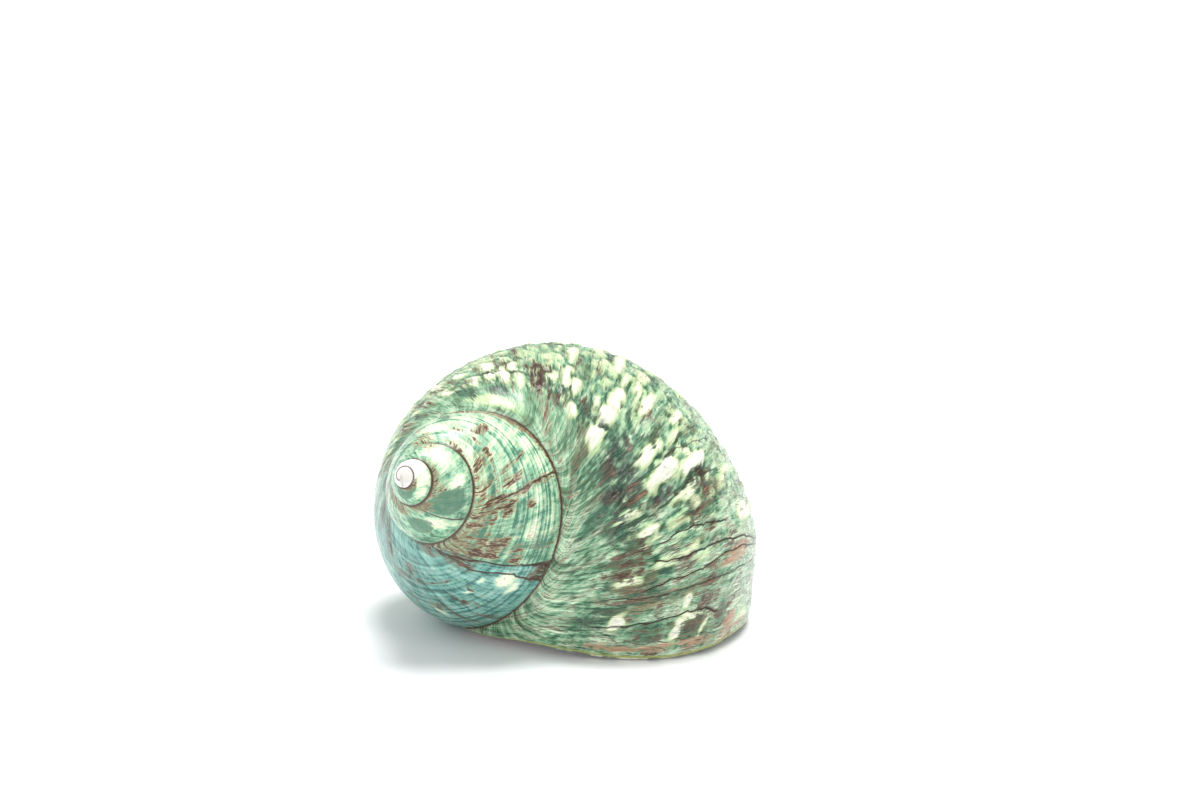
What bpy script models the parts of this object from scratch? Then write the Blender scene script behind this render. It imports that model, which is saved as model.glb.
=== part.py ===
"""Turban shell, grown in one piece: a right-handed logarithmic coil with an open aperture.

Every point of the outside is w * (r cos(t), -r sin(t), z) with w = GROWTH ** (t / one turn).
The angle t is zero where the lip meets the suture and negative further back in time.
The pair (r, z) lies on the whorl section, and the coil axis is +Z with the apex at the origin.
All lengths are metres.
"""
import math

import bmesh
import bpy
import numpy as np

# Coil and whorl section
GROWTH = 2.2                      # whorl size ratio from one turn to the next
SECTION_RADIUS = 0.0309           # mean radius of the last whorl section
SECTION_OFFSET = 0.0207           # section centre from the coil axis
SECTION_DROP = 0.0640             # section centre below the apex
SECTION_OVAL = 0.12               # second harmonic of the section outline
SECTION_OVAL_AT = math.radians(-65.2)
SECTION_SQUARE = 0.031            # fourth harmonic, slightly shouldered
SECTION_SQUARE_AT = math.radians(16.6)
BASE_FILL = 0.08                  # extra radius low on the axis side, closes the navel
BASE_FILL_AT = math.radians(-128.0)
BASE_FILL_WIDTH = math.radians(26.0)
WHORL_TURNS = 4                   # turns kept, the smallest ends in the worn nucleus

# Slant of the growth lines and of the lip, as an angle lag behind the suture
LAG_LINEAR = 1.9565
LAG_SQUARE = -1.137
LAG_AT_SUTURE = math.radians(32.0)   # the lines sweep forward by this much at the suture
LAG_AT_SUTURE_WIDTH = math.radians(5.5)
LAG_AT_AXIS = math.radians(30.0)     # and fall back by this much where the lip meets the pillar
LAG_AT_AXIS_OVER = math.radians(34.0)
LAG_BLEND = math.radians(200.0)      # columns take up the slant over this angle
SWEEP_BLEND = math.radians(100.0)    # and the sweep at the suture over this one

# Where the last whorl leaves the spiral
SUTURE_FALL = math.radians(7.0)      # the suture drops on the old whorl near the lip
SUTURE_FALL_OVER = math.radians(60.0)
SUTURE_FALL_FADE = math.radians(30.0)
BELLY_HEIGHT = 0.0045                # swelling of the old whorl beside the aperture
BELLY_TURN = math.radians(-350.0)
BELLY_TURN_WIDTH = math.radians(35.0)
BELLY_AT = math.radians(-40.0)
BELLY_WIDTH = math.radians(35.0)

# Wall, columella and inside
WALL = 0.0028                     # shell wall at the lip
CALLUS = 0.0020                   # glaze over the earlier whorl inside the aperture
COLUMELLA_RADIUS = 0.0058         # central pillar
SOFT_CORNER = 0.0018              # rounding where the wall meets the pillar
LUMEN_TURNS = 1.35                # how far the cavity runs back from the lip
LUMEN_CENTRE_SHIFT = 0.0035       # centre used to trace the cavity outline
LUMEN_NEAREST = 0.0005            # the outline is looked for between these distances
LUMEN_FARTHEST = 0.07
LUMEN_STEPS = 900
LIP_STEP_AHEAD = 0.001            # small turn that gives the way the lip edge faces
LIP_ROUNDING = 0.38               # bulge of the lip edge as a share of its thickness

# Lumps seen on the last whorl: growth line and section angle, half width and half height,
# all in degrees, and height in millimetres
LUMPS = (
    (-86.5, 65.0, 3.8, 4.5, 1.2),
    (-87.0, 54.0, 3.2, 5.5, 1.1),
    (-87.0, 42.5, 3.0, 6.0, 0.9),
    (-102.0, 66.0, 2.6, 3.6, 0.7),
    (-104.0, 53.0, 2.4, 5.0, 0.8),
    (-109.4, 52.0, 2.4, 5.5, 0.9),
    (-115.0, 54.0, 2.4, 3.8, 0.6),
    (-134.0, 53.0, 2.4, 4.5, 0.8),
    (-139.0, 62.0, 2.6, 6.0, 1.0),
    (-131.0, 64.0, 2.6, 4.0, 0.7),
    (-145.6, 62.0, 2.8, 3.6, 0.8),
    (-145.5, 50.0, 2.8, 6.0, 1.0),
    (-154.8, 63.0, 2.4, 4.0, 0.8),
    (-158.8, 51.0, 2.8, 4.5, 0.9),
    (-170.0, 64.5, 2.6, 3.8, 0.8),
    (-169.0, 49.0, 2.6, 5.0, 0.8),
    (-108.8, 27.0, 2.4, 8.0, 0.8),
    (-65.7, 44.0, 2.6, 6.0, 0.9),
    (-57.3, 39.0, 3.0, 8.0, 1.1),
    (-53.5, 21.0, 2.6, 8.0, 1.0),
    (-51.0, 60.0, 2.4, 5.0, 0.6),
    (-43.0, 51.0, 2.4, 5.0, 0.7),
    (-28.3, 55.0, 3.0, 4.5, 0.6),
    (-76.5, 29.0, 2.4, 8.0, 0.8),
    (-83.0, 26.0, 2.2, 5.0, 0.6),
    (-83.0, 15.0, 2.4, 6.0, 0.6),
    (-92.5, 18.0, 2.4, 9.0, 0.8),
    (-97.0, 27.0, 2.2, 6.0, 0.5),
    (-66.8, 17.0, 2.4, 5.0, 0.8),
    (-47.6, 28.0, 2.2, 9.0, 0.6),
    (-100.0, 12.0, 2.4, 8.0, 0.6),
)
LUMP_FALL = 0.7                   # lump profile is exp(-LUMP_FALL d^3), d its distance in half sizes

# Rows of knobs on the part of the last whorl that the lumps above leave out
KNOB_ROWS = ((62.0, 0.8), (49.0, 0.7), (33.0, 0.5), (14.0, 0.35))   # section angle, millimetres
KNOB_PITCH = math.radians(8.2)
KNOB_ROW_SHIFT = 0.37             # each row starts this share of a pitch later
KNOB_ROW_WIDTH = math.radians(6.0)
KNOB_SHARPNESS = 0.7
KNOB_START = math.radians(-235.0)
KNOB_START_OVER = math.radians(25.0)
KNOB_END = math.radians(-50.0)
KNOB_END_OVER = math.radians(20.0)
LUMPED_FROM = math.radians(-178.0)   # the lumps take over here, above LUMPED_ABOVE
LUMPED_OVER = math.radians(8.0)
LUMPED_ABOVE = math.radians(4.0)
LUMPED_ABOVE_OVER = math.radians(12.0)

# Wavy ridges along the growth lines below the shoulder
RIDGE_HEIGHT = 0.00035
RIDGE_PITCH = math.radians(7.0)
RIDGE_WAVE = 0.4
RIDGE_WAVE_PITCH = math.radians(23.0)
RIDGE_TOP = math.radians(68.0)
RIDGE_TOP_OVER = math.radians(7.0)
RIDGE_BOTTOM = math.radians(-75.0)
RIDGE_BOTTOM_OVER = math.radians(45.0)
RIDGE_START = math.radians(-215.0)
RIDGE_START_OVER = math.radians(40.0)
RIDGE_END = math.radians(-22.0)
RIDGE_END_OVER = math.radians(22.0)

# Ramp below the suture, rest mark and swelling behind the lip
SHOULDER_DIP = 0.0005
SHOULDER_DIP_AT = math.radians(75.0)
SHOULDER_DIP_WIDTH = math.radians(7.0)
REST_MARK_DEPTH = 0.0006          # ledge where growth once stopped
REST_MARK_START = math.radians(-356.5)
REST_MARK_START_OVER = math.radians(1.4)
REST_MARK_END = math.radians(-341.0)
REST_MARK_END_OVER = math.radians(9.0)
LIP_VARIX_HEIGHT = 0.0007
LIP_VARIX_AT = math.radians(-27.0)
LIP_VARIX_WIDTH = math.radians(9.0)
LIP_NECK_DEPTH = 0.00045
LIP_NECK_AT = math.radians(-11.0)
LIP_NECK_WIDTH = math.radians(6.0)
FADE_AT_SUTURE = math.radians(9.0)   # relief dies out towards the suture over this angle
FADE_ON_OLD_WHORL = math.radians(12.0)
FADE_AT_START = math.radians(40.0)

# Grid and finish
COLUMNS = 300                     # columns in one turn
SPIRE_ROWS = 26                   # rows between two sutures
ROW_CROWDING = 1.5                # rows crowd towards the upper suture
BASE_ROWS = 24                    # rows from the suture line of the old whorl to the axis
LIP_ROWS = 4
LUMEN_COLUMNS = 54                # rings along the cavity
NUCLEUS_HEIGHT = 0.92             # top of the nucleus, as a share of its section radius
COLLAPSE_RATIO = 0.081
JOIN_DISTANCE = 1.0e-6
HALVINGS = 60                     # steps of each root search
SUTURE_SEARCH = (math.radians(60.0), math.radians(110.0))
AXIS_SEARCH = (math.radians(-175.0), math.radians(-100.0))

# Resting attitude on a table
REST_LEAN = math.radians(68.7)
REST_LEAN_TOWARDS = math.radians(182.5)
REST_YAW = math.radians(198.0)

TURN = 2.0 * math.pi
SHELL_GREEN = (0.23, 0.42, 0.31, 1.0)
SHELL_ROUGHNESS = 0.25
MILLIMETRE = 0.001


def smooth_step(value):
    """0 below 0, 1 above 1, 3v^2 - 2v^3 between."""
    v = np.clip(value, 0.0, 1.0)
    return v * v * (3.0 - 2.0 * v)


def bell(value, centre, width):
    """exp(-((value - centre) / width)^2)."""
    return np.exp(-((value - centre) / width) ** 2)


def whorl_scale(angle):
    """w = GROWTH ** (angle / turn)."""
    return GROWTH ** (np.asarray(angle) / TURN)


def outline_radius(around):
    """Section radius at the angle around its centre, measured up from straight out."""
    oval = SECTION_OVAL * np.cos(2.0 * (around - SECTION_OVAL_AT))
    square = SECTION_SQUARE * np.cos(4.0 * (around - SECTION_SQUARE_AT))
    low_side = np.mod(around - BASE_FILL_AT + math.pi, TURN) - math.pi
    fill = BASE_FILL * bell(low_side, 0.0, BASE_FILL_WIDTH)
    return SECTION_RADIUS * (1.0 + oval + square + fill)


def section_point(around, raised=0.0):
    """(r, z) of the section at w = 1, with relief added to its radius."""
    reach = outline_radius(around) + raised
    radius = SECTION_OFFSET + reach * np.cos(around)
    height = -SECTION_DROP + reach * np.sin(around)
    return radius, height


def clearance(radius, height, scale):
    """Distance outside (positive) or inside (negative) of the section drawn at a scale."""
    across = radius - SECTION_OFFSET * scale
    up = height + SECTION_DROP * scale
    return np.hypot(across, up) - scale * outline_radius(np.arctan2(up, across))


def halve(function, low, high):
    """Root of a function that changes sign between low and high."""
    low_sign = function(low) > 0.0
    for _ in range(HALVINGS):
        middle = 0.5 * (low + high)
        if (function(middle) > 0.0) == low_sign:
            low = middle
        else:
            high = middle
    return 0.5 * (low + high)


def suture_angles():
    """Section angles of the suture: on the newer whorl and on the older one it lies on."""
    def gap(around):
        radius, height = section_point(around)
        return clearance(radius, height, 1.0 / GROWTH)
    newer = halve(gap, *SUTURE_SEARCH)
    radius, height = section_point(newer)
    across = radius - SECTION_OFFSET / GROWTH
    up = height + SECTION_DROP / GROWTH
    return newer, math.atan2(up, across)


def axis_angle():
    """Section angle where the base reaches the coil axis."""
    return halve(lambda around: section_point(around)[0], *AXIS_SEARCH)


SUTURE_NEW, SUTURE_OLD = suture_angles()
AXIS_AT = axis_angle()


def slant(around):
    """LAG_LINEAR s + LAG_SQUARE s^2, s the section angle below the suture over pi, and at the axis more."""
    s = (SUTURE_NEW - around) / math.pi
    near_axis = smooth_step((AXIS_AT + LAG_AT_AXIS_OVER - around) / LAG_AT_AXIS_OVER)
    return LAG_LINEAR * s + LAG_SQUARE * s * s + LAG_AT_AXIS * near_axis


def sweep(around):
    """LAG_AT_SUTURE (1 - exp(-d / LAG_AT_SUTURE_WIDTH)), d the section angle below the suture."""
    below = np.maximum(SUTURE_NEW - around, 0.0)
    return LAG_AT_SUTURE * (1.0 - np.exp(-below / LAG_AT_SUTURE_WIDTH))


def lag(around):
    """Angle by which a growth line trails its point on the suture: slant plus sweep."""
    return slant(around) + sweep(around)


def suture_fall(angle):
    """How far down the old whorl the suture has dropped where the new whorl is at this angle."""
    return SUTURE_FALL * smooth_step(1.0 + angle / SUTURE_FALL_OVER)


def belly(angle, around):
    """Swelling of the whorl wall just before the parietal side of the aperture."""
    return BELLY_HEIGHT * bell(angle, BELLY_TURN, BELLY_TURN_WIDTH) * bell(around, BELLY_AT, BELLY_WIDTH)


def base_lag(around):
    """Lag of the inner edge on the old whorl: none at the suture, all of it at the axis."""
    share = smooth_step((SUTURE_OLD - SUTURE_FALL - around) / (SUTURE_OLD - SUTURE_FALL - AXIS_AT))
    return lag(AXIS_AT) * share


def uneven(growth, row):
    """Factor between about 0.4 and 1 that keeps neighbouring knobs unlike."""
    mix = np.sin(5.3 * growth + 1.7 * row) + np.sin(8.9 * growth - 2.3 * row)
    return 0.7 + 0.15 * mix


def lumps(growth, around):
    """Millimetres of the highest lump: height times exp(-LUMP_FALL (x^2 + y^2)^1.5)."""
    across = np.degrees(growth)
    along = np.degrees(around)
    level = np.zeros_like(across)
    for lump_growth, lump_around, half_width, half_height, height in LUMPS:
        x = (across - lump_growth) / half_width
        y = (along - lump_around) / half_height
        level = np.maximum(level, height * np.exp(-LUMP_FALL * (x * x + y * y) ** 1.5))
    return level


def knobs(growth, around):
    """Millimetres of the rows of knobs: a clipped cosine along each row, a bell across it."""
    above = smooth_step((around - LUMPED_ABOVE) / LUMPED_ABOVE_OVER)
    lumped = smooth_step((growth - LUMPED_FROM) / LUMPED_OVER) * above
    active = smooth_step((growth - KNOB_START) / KNOB_START_OVER)
    active = active * smooth_step((KNOB_END - growth) / KNOB_END_OVER)
    level = np.zeros_like(growth)
    for row, (row_at, size) in enumerate(KNOB_ROWS):
        phase = growth / KNOB_PITCH + KNOB_ROW_SHIFT * row
        wave = np.clip(0.5 + KNOB_SHARPNESS * np.cos(TURN * phase), 0.0, 1.0)
        across_row = bell(around, math.radians(row_at), KNOB_ROW_WIDTH)
        level = np.maximum(level, size * wave * across_row * uneven(growth, row))
    return level * active * (1.0 - lumped)


def ridges(growth, around):
    """Metres of the wavy ridges: a sine of the growth line, bent by a sine of the section angle."""
    bend = RIDGE_WAVE * np.sin(TURN * around / RIDGE_WAVE_PITCH + 3.0 * growth)
    wave = np.sin(TURN * growth / RIDGE_PITCH + TURN * bend)
    high = smooth_step((RIDGE_TOP - around) / RIDGE_TOP_OVER)
    low = smooth_step((around - RIDGE_BOTTOM) / RIDGE_BOTTOM_OVER)
    start = smooth_step((growth - RIDGE_START) / RIDGE_START_OVER)
    end = smooth_step((RIDGE_END - growth) / RIDGE_END_OVER)
    return RIDGE_HEIGHT * wave * high * low * start * end


def relief(growth, around):
    """Height of lumps, knobs, ridges, ramp, rest mark and lip at (growth line, section angle)."""
    height = MILLIMETRE * np.maximum(lumps(growth, around), knobs(growth, around))
    height = height + ridges(growth, around)
    knobbed = smooth_step((growth - KNOB_START) / KNOB_START_OVER) * smooth_step(-growth / KNOB_END_OVER)
    height = height - SHOULDER_DIP * bell(around, SHOULDER_DIP_AT, SHOULDER_DIP_WIDTH) * knobbed
    rest = smooth_step((growth - REST_MARK_START) / REST_MARK_START_OVER)
    rest = rest * smooth_step((REST_MARK_END - growth) / REST_MARK_END_OVER)
    height = height - REST_MARK_DEPTH * rest
    height = height + LIP_VARIX_HEIGHT * bell(growth, LIP_VARIX_AT, LIP_VARIX_WIDTH)
    height = height - LIP_NECK_DEPTH * bell(growth, LIP_NECK_AT, LIP_NECK_WIDTH)
    return height * smooth_step((SUTURE_NEW - around) / FADE_AT_SUTURE)


def place(angle, radius, height):
    """w * (r cos t, -r sin t, z) as an array of points."""
    scale = whorl_scale(angle)
    return np.stack([scale * radius * np.cos(angle), -scale * radius * np.sin(angle), scale * height], -1)


def row_shares():
    """Shares 1 - (1 - x)^ROW_CROWDING from one suture to the next, crowded at the upper one."""
    return 1.0 - (1.0 - np.linspace(0.0, 1.0, SPIRE_ROWS + 1)) ** ROW_CROWDING


def spire_surface():
    """The whorls before the last one, between sutures, columns at even angles."""
    columns = np.arange(-WHORL_TURNS * COLUMNS, -COLUMNS + 1) * TURN / COLUMNS
    lowest = SUTURE_OLD - suture_fall(columns + TURN)
    around = lowest[:, None] + (SUTURE_NEW - lowest)[:, None] * row_shares()[None, :]
    angle = np.broadcast_to(columns[:, None], around.shape)
    fade = smooth_step((around - SUTURE_OLD) / FADE_ON_OLD_WHORL)
    raised = relief(angle + lag(around), around) * fade + belly(angle, around)
    return place(angle, *section_point(around, raised))


def last_whorl_rows():
    """Section angles of the last whorl from the axis up to its suture."""
    lowest = SUTURE_OLD - SUTURE_FALL
    low = np.linspace(AXIS_AT, lowest, BASE_ROWS + 1)
    high = lowest + (SUTURE_NEW - lowest) * row_shares()
    return np.concatenate([low[:-1], high])


def last_whorl_angles(rows):
    """Column angles that start on the old whorl's columns and end along the lip."""
    suture = (np.arange(COLUMNS + 1) / COLUMNS - 1.0) * TURN
    blend = smooth_step((suture + TURN) / LAG_BLEND)[:, None]
    sweep_blend = smooth_step(suture / SWEEP_BLEND + 1.0)[:, None]
    slanted = base_lag(rows) * (1.0 - blend) + slant(rows) * blend
    return suture[:, None] - slanted - sweep(rows) * sweep_blend


def last_whorl_surface(rows, angle):
    """The whorl that carries the lip, from axis to suture."""
    around = np.broadcast_to(rows, angle.shape)
    raised = relief(angle + lag(around), around)
    onset = np.arange(COLUMNS + 1)[:, None] / COLUMNS * TURN / FADE_AT_START
    below_old_suture = smooth_step((around - SUTURE_OLD) / FADE_ON_OLD_WHORL)
    raised = raised * np.maximum(below_old_suture, smooth_step(onset)) + belly(angle, around)
    radius, height = section_point(around, raised)
    radius[:, 0] = 0.0
    points = place(angle, radius, height)
    suture = angle[:, -1]
    seat_at = SUTURE_OLD - suture_fall(suture)
    seat = place(suture - TURN, *section_point(seat_at, belly(suture - TURN, seat_at)))
    pull = smooth_step((around - SUTURE_NEW) / SUTURE_FALL_FADE + 1.0)
    return points + pull[..., None] * (seat - points[:, -1])[:, None, :]


def lumen_reach(direction, centre):
    """Distance from the tracing centre to the inside face, along each direction.

    The inside face is where the soft maximum of three terms is zero: less than a wall from the
    outside, closer than the callus to the earlier whorl, or inside the central pillar.
    """
    steps = np.linspace(LUMEN_NEAREST, LUMEN_FARTHEST, LUMEN_STEPS)[None, :]
    radius = centre[0] + steps * np.cos(direction)[:, None]
    height = centre[1] + steps * np.sin(direction)[:, None]
    near_outside = clearance(radius, height, 1.0) + WALL
    near_old_whorl = CALLUS - clearance(radius, height, 1.0 / GROWTH)
    near_axis = COLUMELLA_RADIUS - radius
    terms = np.stack([near_outside, near_old_whorl, near_axis]) / SOFT_CORNER
    level = np.log(np.exp(terms).sum(0))
    last_inside = np.argmax(level > 0.0, axis=1) - 1
    pick = np.arange(len(direction))
    before = level[pick, last_inside]
    after = level[pick, last_inside + 1]
    share = before / (before - after)
    return steps[0, last_inside] + share * (steps[0, 1] - steps[0, 0])


def aperture_edge(rows, angle, outside):
    """Closed loop round the aperture: lip, then pillar, then old whorl, with section places."""
    lip = outside[-1, ::-1]
    pillar = outside[-2::-1, 0]
    old_whorl = outside[0, 1:BASE_ROWS + 1]
    loop = np.concatenate([lip, pillar, old_whorl])
    lip_radius, lip_height = section_point(rows[::-1])
    pillar_turn = np.full(COLUMNS, angle[-1, 0])
    pillar_height = pillar[:, 2] / whorl_scale(pillar_turn)
    old_radius, old_height = section_point(rows[1:BASE_ROWS + 1])
    turn = np.concatenate([angle[-1, ::-1], pillar_turn, angle[0, 1:BASE_ROWS + 1] + TURN])
    radius = np.concatenate([lip_radius, np.zeros(COLUMNS), old_radius / GROWTH])
    height = np.concatenate([lip_height, pillar_height, old_height / GROWTH])
    return loop, turn, radius, height


def lumen_surface(rows, angle, outside):
    """Rounded lip edge and the cavity that coils back from it, as rings of points."""
    loop, turn, radius, height = aperture_edge(rows, angle, outside)
    centre = (SECTION_OFFSET + LUMEN_CENTRE_SHIFT, -SECTION_DROP)
    direction = np.arctan2(height - centre[1], radius - centre[0])
    reach = lumen_reach(direction, centre)
    inner_radius = centre[0] + reach * np.cos(direction)
    inner_height = centre[1] + reach * np.sin(direction)
    edge = place(turn, inner_radius, inner_height)
    ahead = place(turn + LIP_STEP_AHEAD, inner_radius, inner_height) - edge
    ahead = ahead / np.linalg.norm(ahead, axis=1, keepdims=True)
    thickness = np.linalg.norm(edge - loop, axis=1, keepdims=True)
    rings = [loop]
    for step in range(1, LIP_ROWS):
        share = step / LIP_ROWS
        bulge = LIP_ROUNDING * math.sin(math.pi * share)
        rings.append(loop + (edge - loop) * share + ahead * thickness * bulge)
    for depth in np.linspace(0.0, LUMEN_TURNS * TURN, LUMEN_COLUMNS):
        rings.append(place(turn - depth, inner_radius, inner_height))
    deepest = np.mean(turn) - LUMEN_TURNS * TURN
    pole = place(np.array(deepest), np.array(centre[0]), np.array(centre[1]))
    return np.stack(rings), pole


def add_grid(bm, points, closed=False):
    """Quads over a grid of points; returns the vertices as rows."""
    rows = [[bm.verts.new(point) for point in line] for line in points]
    for line, following in zip(rows[:-1], rows[1:]):
        count = len(line)
        for i in range(count if closed else count - 1):
            j = (i + 1) % count
            bm.faces.new((line[i], following[i], following[j], line[j]))
    return rows


def add_fan(bm, ring, centre, closed=False):
    """Triangles from a ring of vertices to one new vertex."""
    hub = bm.verts.new(centre)
    count = len(ring)
    for i in range(count if closed else count - 1):
        bm.faces.new((ring[i], ring[(i + 1) % count], hub))


def build_shell():
    """Join spire, last whorl, lip, cavity and nucleus into one closed skin."""
    bm = bmesh.new()
    spire = add_grid(bm, spire_surface())
    rows = last_whorl_rows()
    angle = last_whorl_angles(rows)
    outside = last_whorl_surface(rows, angle)
    add_grid(bm, outside)
    rings, pole = lumen_surface(rows, angle, outside)
    cavity = add_grid(bm, rings, closed=True)
    add_fan(bm, cavity[-1], pole, closed=True)
    nucleus_scale = whorl_scale(-WHORL_TURNS * TURN)
    nucleus_top = (0.0, 0.0, -NUCLEUS_HEIGHT * SECTION_RADIUS * nucleus_scale)
    first_turn = [column[-1] for column in spire[:COLUMNS + 1]]
    first_column = spire[0][1:]
    add_fan(bm, first_turn + first_column, nucleus_top)
    bmesh.ops.remove_doubles(bm, verts=bm.verts, dist=JOIN_DISTANCE)
    bmesh.ops.dissolve_degenerate(bm, dist=JOIN_DISTANCE, edges=bm.edges)
    bmesh.ops.recalc_face_normals(bm, faces=bm.faces)
    return bm


def settle(bm):
    """Turn the shell to its resting attitude and put the box bottom centre at the origin."""
    points = np.array([vert.co for vert in bm.verts])
    lean = rotation((-math.sin(REST_LEAN_TOWARDS), math.cos(REST_LEAN_TOWARDS), 0.0), -REST_LEAN)
    points = points @ lean.T
    points = points @ rotation((0.0, 0.0, 1.0), REST_YAW).T
    low = points.min(0)
    high = points.max(0)
    points = points - np.array([0.5 * (low[0] + high[0]), 0.5 * (low[1] + high[1]), low[2]])
    for vert, point in zip(bm.verts, points):
        vert.co = point


def rotation(axis, angle):
    """Turn matrix about a unit axis: I + sin(a) K + (1 - cos(a)) K^2."""
    x, y, z = axis
    cross = np.array([[0.0, -z, y], [z, 0.0, -x], [-y, x, 0.0]])
    return np.eye(3) + math.sin(angle) * cross + (1.0 - math.cos(angle)) * cross @ cross


def shell_material():
    """Polished green shell."""
    material = bpy.data.materials.new("shell_green")
    material.use_nodes = True
    surface = material.node_tree.nodes["Principled BSDF"]
    surface.inputs["Base Color"].default_value = SHELL_GREEN
    surface.inputs["Roughness"].default_value = SHELL_ROUGHNESS
    return material


def main():
    for item in list(bpy.data.objects):
        bpy.data.objects.remove(item, do_unlink=True)
    bm = build_shell()
    settle(bm)
    mesh = bpy.data.meshes.new("turban_shell")
    bm.to_mesh(mesh)
    bm.free()
    mesh.materials.append(shell_material())
    for face in mesh.polygons:
        face.use_smooth = True
    shell = bpy.data.objects.new("turban_shell", mesh)
    bpy.context.scene.collection.objects.link(shell)
    thin = shell.modifiers.new("collapse", "DECIMATE")
    thin.ratio = COLLAPSE_RATIO


main()
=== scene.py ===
"""Looks of the turban shell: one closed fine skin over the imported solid, with its coil pattern."""
import functools
import math
from math import degrees, radians

import bmesh
import bpy
import numpy as np
from mathutils import Euler, Matrix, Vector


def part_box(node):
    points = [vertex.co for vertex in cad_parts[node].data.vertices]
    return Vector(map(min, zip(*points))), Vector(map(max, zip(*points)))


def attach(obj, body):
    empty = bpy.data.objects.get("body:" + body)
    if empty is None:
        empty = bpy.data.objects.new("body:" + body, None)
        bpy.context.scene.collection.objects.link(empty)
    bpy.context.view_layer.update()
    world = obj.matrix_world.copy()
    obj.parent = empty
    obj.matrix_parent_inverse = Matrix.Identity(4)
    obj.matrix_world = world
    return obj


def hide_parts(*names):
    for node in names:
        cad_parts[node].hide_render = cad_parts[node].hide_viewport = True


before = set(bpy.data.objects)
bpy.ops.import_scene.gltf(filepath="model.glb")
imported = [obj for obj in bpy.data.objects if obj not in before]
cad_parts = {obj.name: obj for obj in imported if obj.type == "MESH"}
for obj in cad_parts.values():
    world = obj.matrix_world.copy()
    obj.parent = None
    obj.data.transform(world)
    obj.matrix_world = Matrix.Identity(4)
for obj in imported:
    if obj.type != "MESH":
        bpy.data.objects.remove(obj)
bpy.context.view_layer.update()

TURN = 2 * math.pi
SHELL_NODE = "turban_shell"
MILLIMETRE = 0.001
LATTICE = 128  # points along each side of a noise table
FAR = 9.0  # further than any neighbour
HALVINGS = 60

# Coil and whorl section, as in the solid
GROWTH = 2.2
SECTION_RADIUS = 0.0309
SECTION_OFFSET = 0.0207
SECTION_DROP = 0.064
SECTION_OVAL = 0.12
SECTION_OVAL_AT = radians(-65.2)
SECTION_SQUARE = 0.031
SECTION_SQUARE_AT = radians(16.6)
BASE_FILL = 0.08
BASE_FILL_AT = radians(-128)
BASE_FILL_WIDTH = radians(26)
WHORL_TURNS = 4

# Slant of the growth lines and the drop of the last suture
LAG_LINEAR = 1.9565
LAG_SQUARE = -1.137
LAG_AT_SUTURE = radians(32)
LAG_AT_SUTURE_WIDTH = radians(5.5)
LAG_AT_AXIS = radians(30)
LAG_AT_AXIS_OVER = radians(34)
LAG_BLEND = radians(200)
SWEEP_BLEND = radians(100)
PRESSED_ON = radians(12)  # above the older suture the relief fades over this angle
ONSET = radians(40)  # and over this angle where the last whorl starts
FLOW_AT_SUTURE = 31  # degrees by which the fine striae trail the suture
FLOW_WIDTH = 3.8
SUTURE_FALL = radians(7)
SUTURE_FALL_OVER = radians(60)
SUTURE_FALL_FADE = radians(30)
BELLY_HEIGHT = 0.0045
BELLY_TURN = radians(-350)
BELLY_TURN_WIDTH = radians(35)
BELLY_AT = radians(-40)
BELLY_WIDTH = radians(35)

# Places of the main forms: section angles, then growth angles, in degrees
RAMP_AT = 75
KNOB_GROOVE_AT = 57.8  # groove between the two upper rows of lumps
REST_AT = -355  # rest mark where the last whorl starts
REST_OVER = -352  # end of the older shell's colours
LIP_SWELL_AT = -27
LIP_WAIST_AT = -11
LIP_RIM_AT = -4.6

# Wall, pillar and cavity
WALL = 0.0028
CALLUS = 0.002
COLUMELLA_RADIUS = 0.0058
SOFT_CORNER = 0.0018
LUMEN_TURNS = 1.35
LUMEN_CENTRE_SHIFT = 0.0035
LUMEN_SCAN = (0.0005, 0.07, 900)
LIP_ROUNDING = 0.38

# Cobbles, in degrees across and along the growth lines
COBBLE_WIDTH = 5.6
COBBLE_LENGTH = 10.5

# Grid of the skin
COLUMNS = 300  # columns in one turn
COLUMN_CROWDING = 0.15  # they crowd towards the lip
FINE_ROWS = 84  # rows between sutures on the last two whorls
COARSE_STEP = 4  # earlier whorls keep every fourth row
ROW_CROWDING = 1.35
BASE_ROWS = 40
LIP_ROWS = 5
LUMEN_RINGS = 34
LUMEN_CROWDING = 1.4
AHEAD = 0.001  # small turn that gives the way the coil goes
JOIN_DISTANCE = 1.0e-6
NUCLEUS_HEIGHT = 0.92  # top of the nucleus, as a share of its section radius

# Resting attitude, as in the solid
REST_LEAN = radians(68.7)
REST_LEAN_TOWARDS = radians(182.5)
REST_YAW = radians(198)

# Camera of the photograph
CAMERA_AT = (-0.188219, -0.252454, 0.109946)
CAMERA_TURN = (78.046, -2.9121, -37.5474)
CAMERA_LENS = 51.6774
CAMERA_SENSOR = 36
CAMERA_NEAR = 0.01

# Floor, brightness of the surroundings as light and as seen, suns and soft boxes
FLOOR_RADIUS = 4.0
SURROUNDINGS = (0.72, 1.05)
# name, power, spread and turn in degrees
SUNS = (("even_light", 3.45, 30, (-4, 9, 0)), ("side_light", 0.6, 40, (0, -66, 28)))
# name, place, size, power
SOFTBOXES = (
    ("gleam_left", (-0.6, 0.1, 0.85), (0.28, 0.28), 3.5),
    ("gleam_above", (-0.1, 0.35, 0.95), (0.2, 0.28), 3.2),
    ("gleam_front", (0.15, -0.8, 0.6), (0.3, 0.3), 2),
)
SOFTBOX_TARGET = (0, 0, 0.02)

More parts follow.
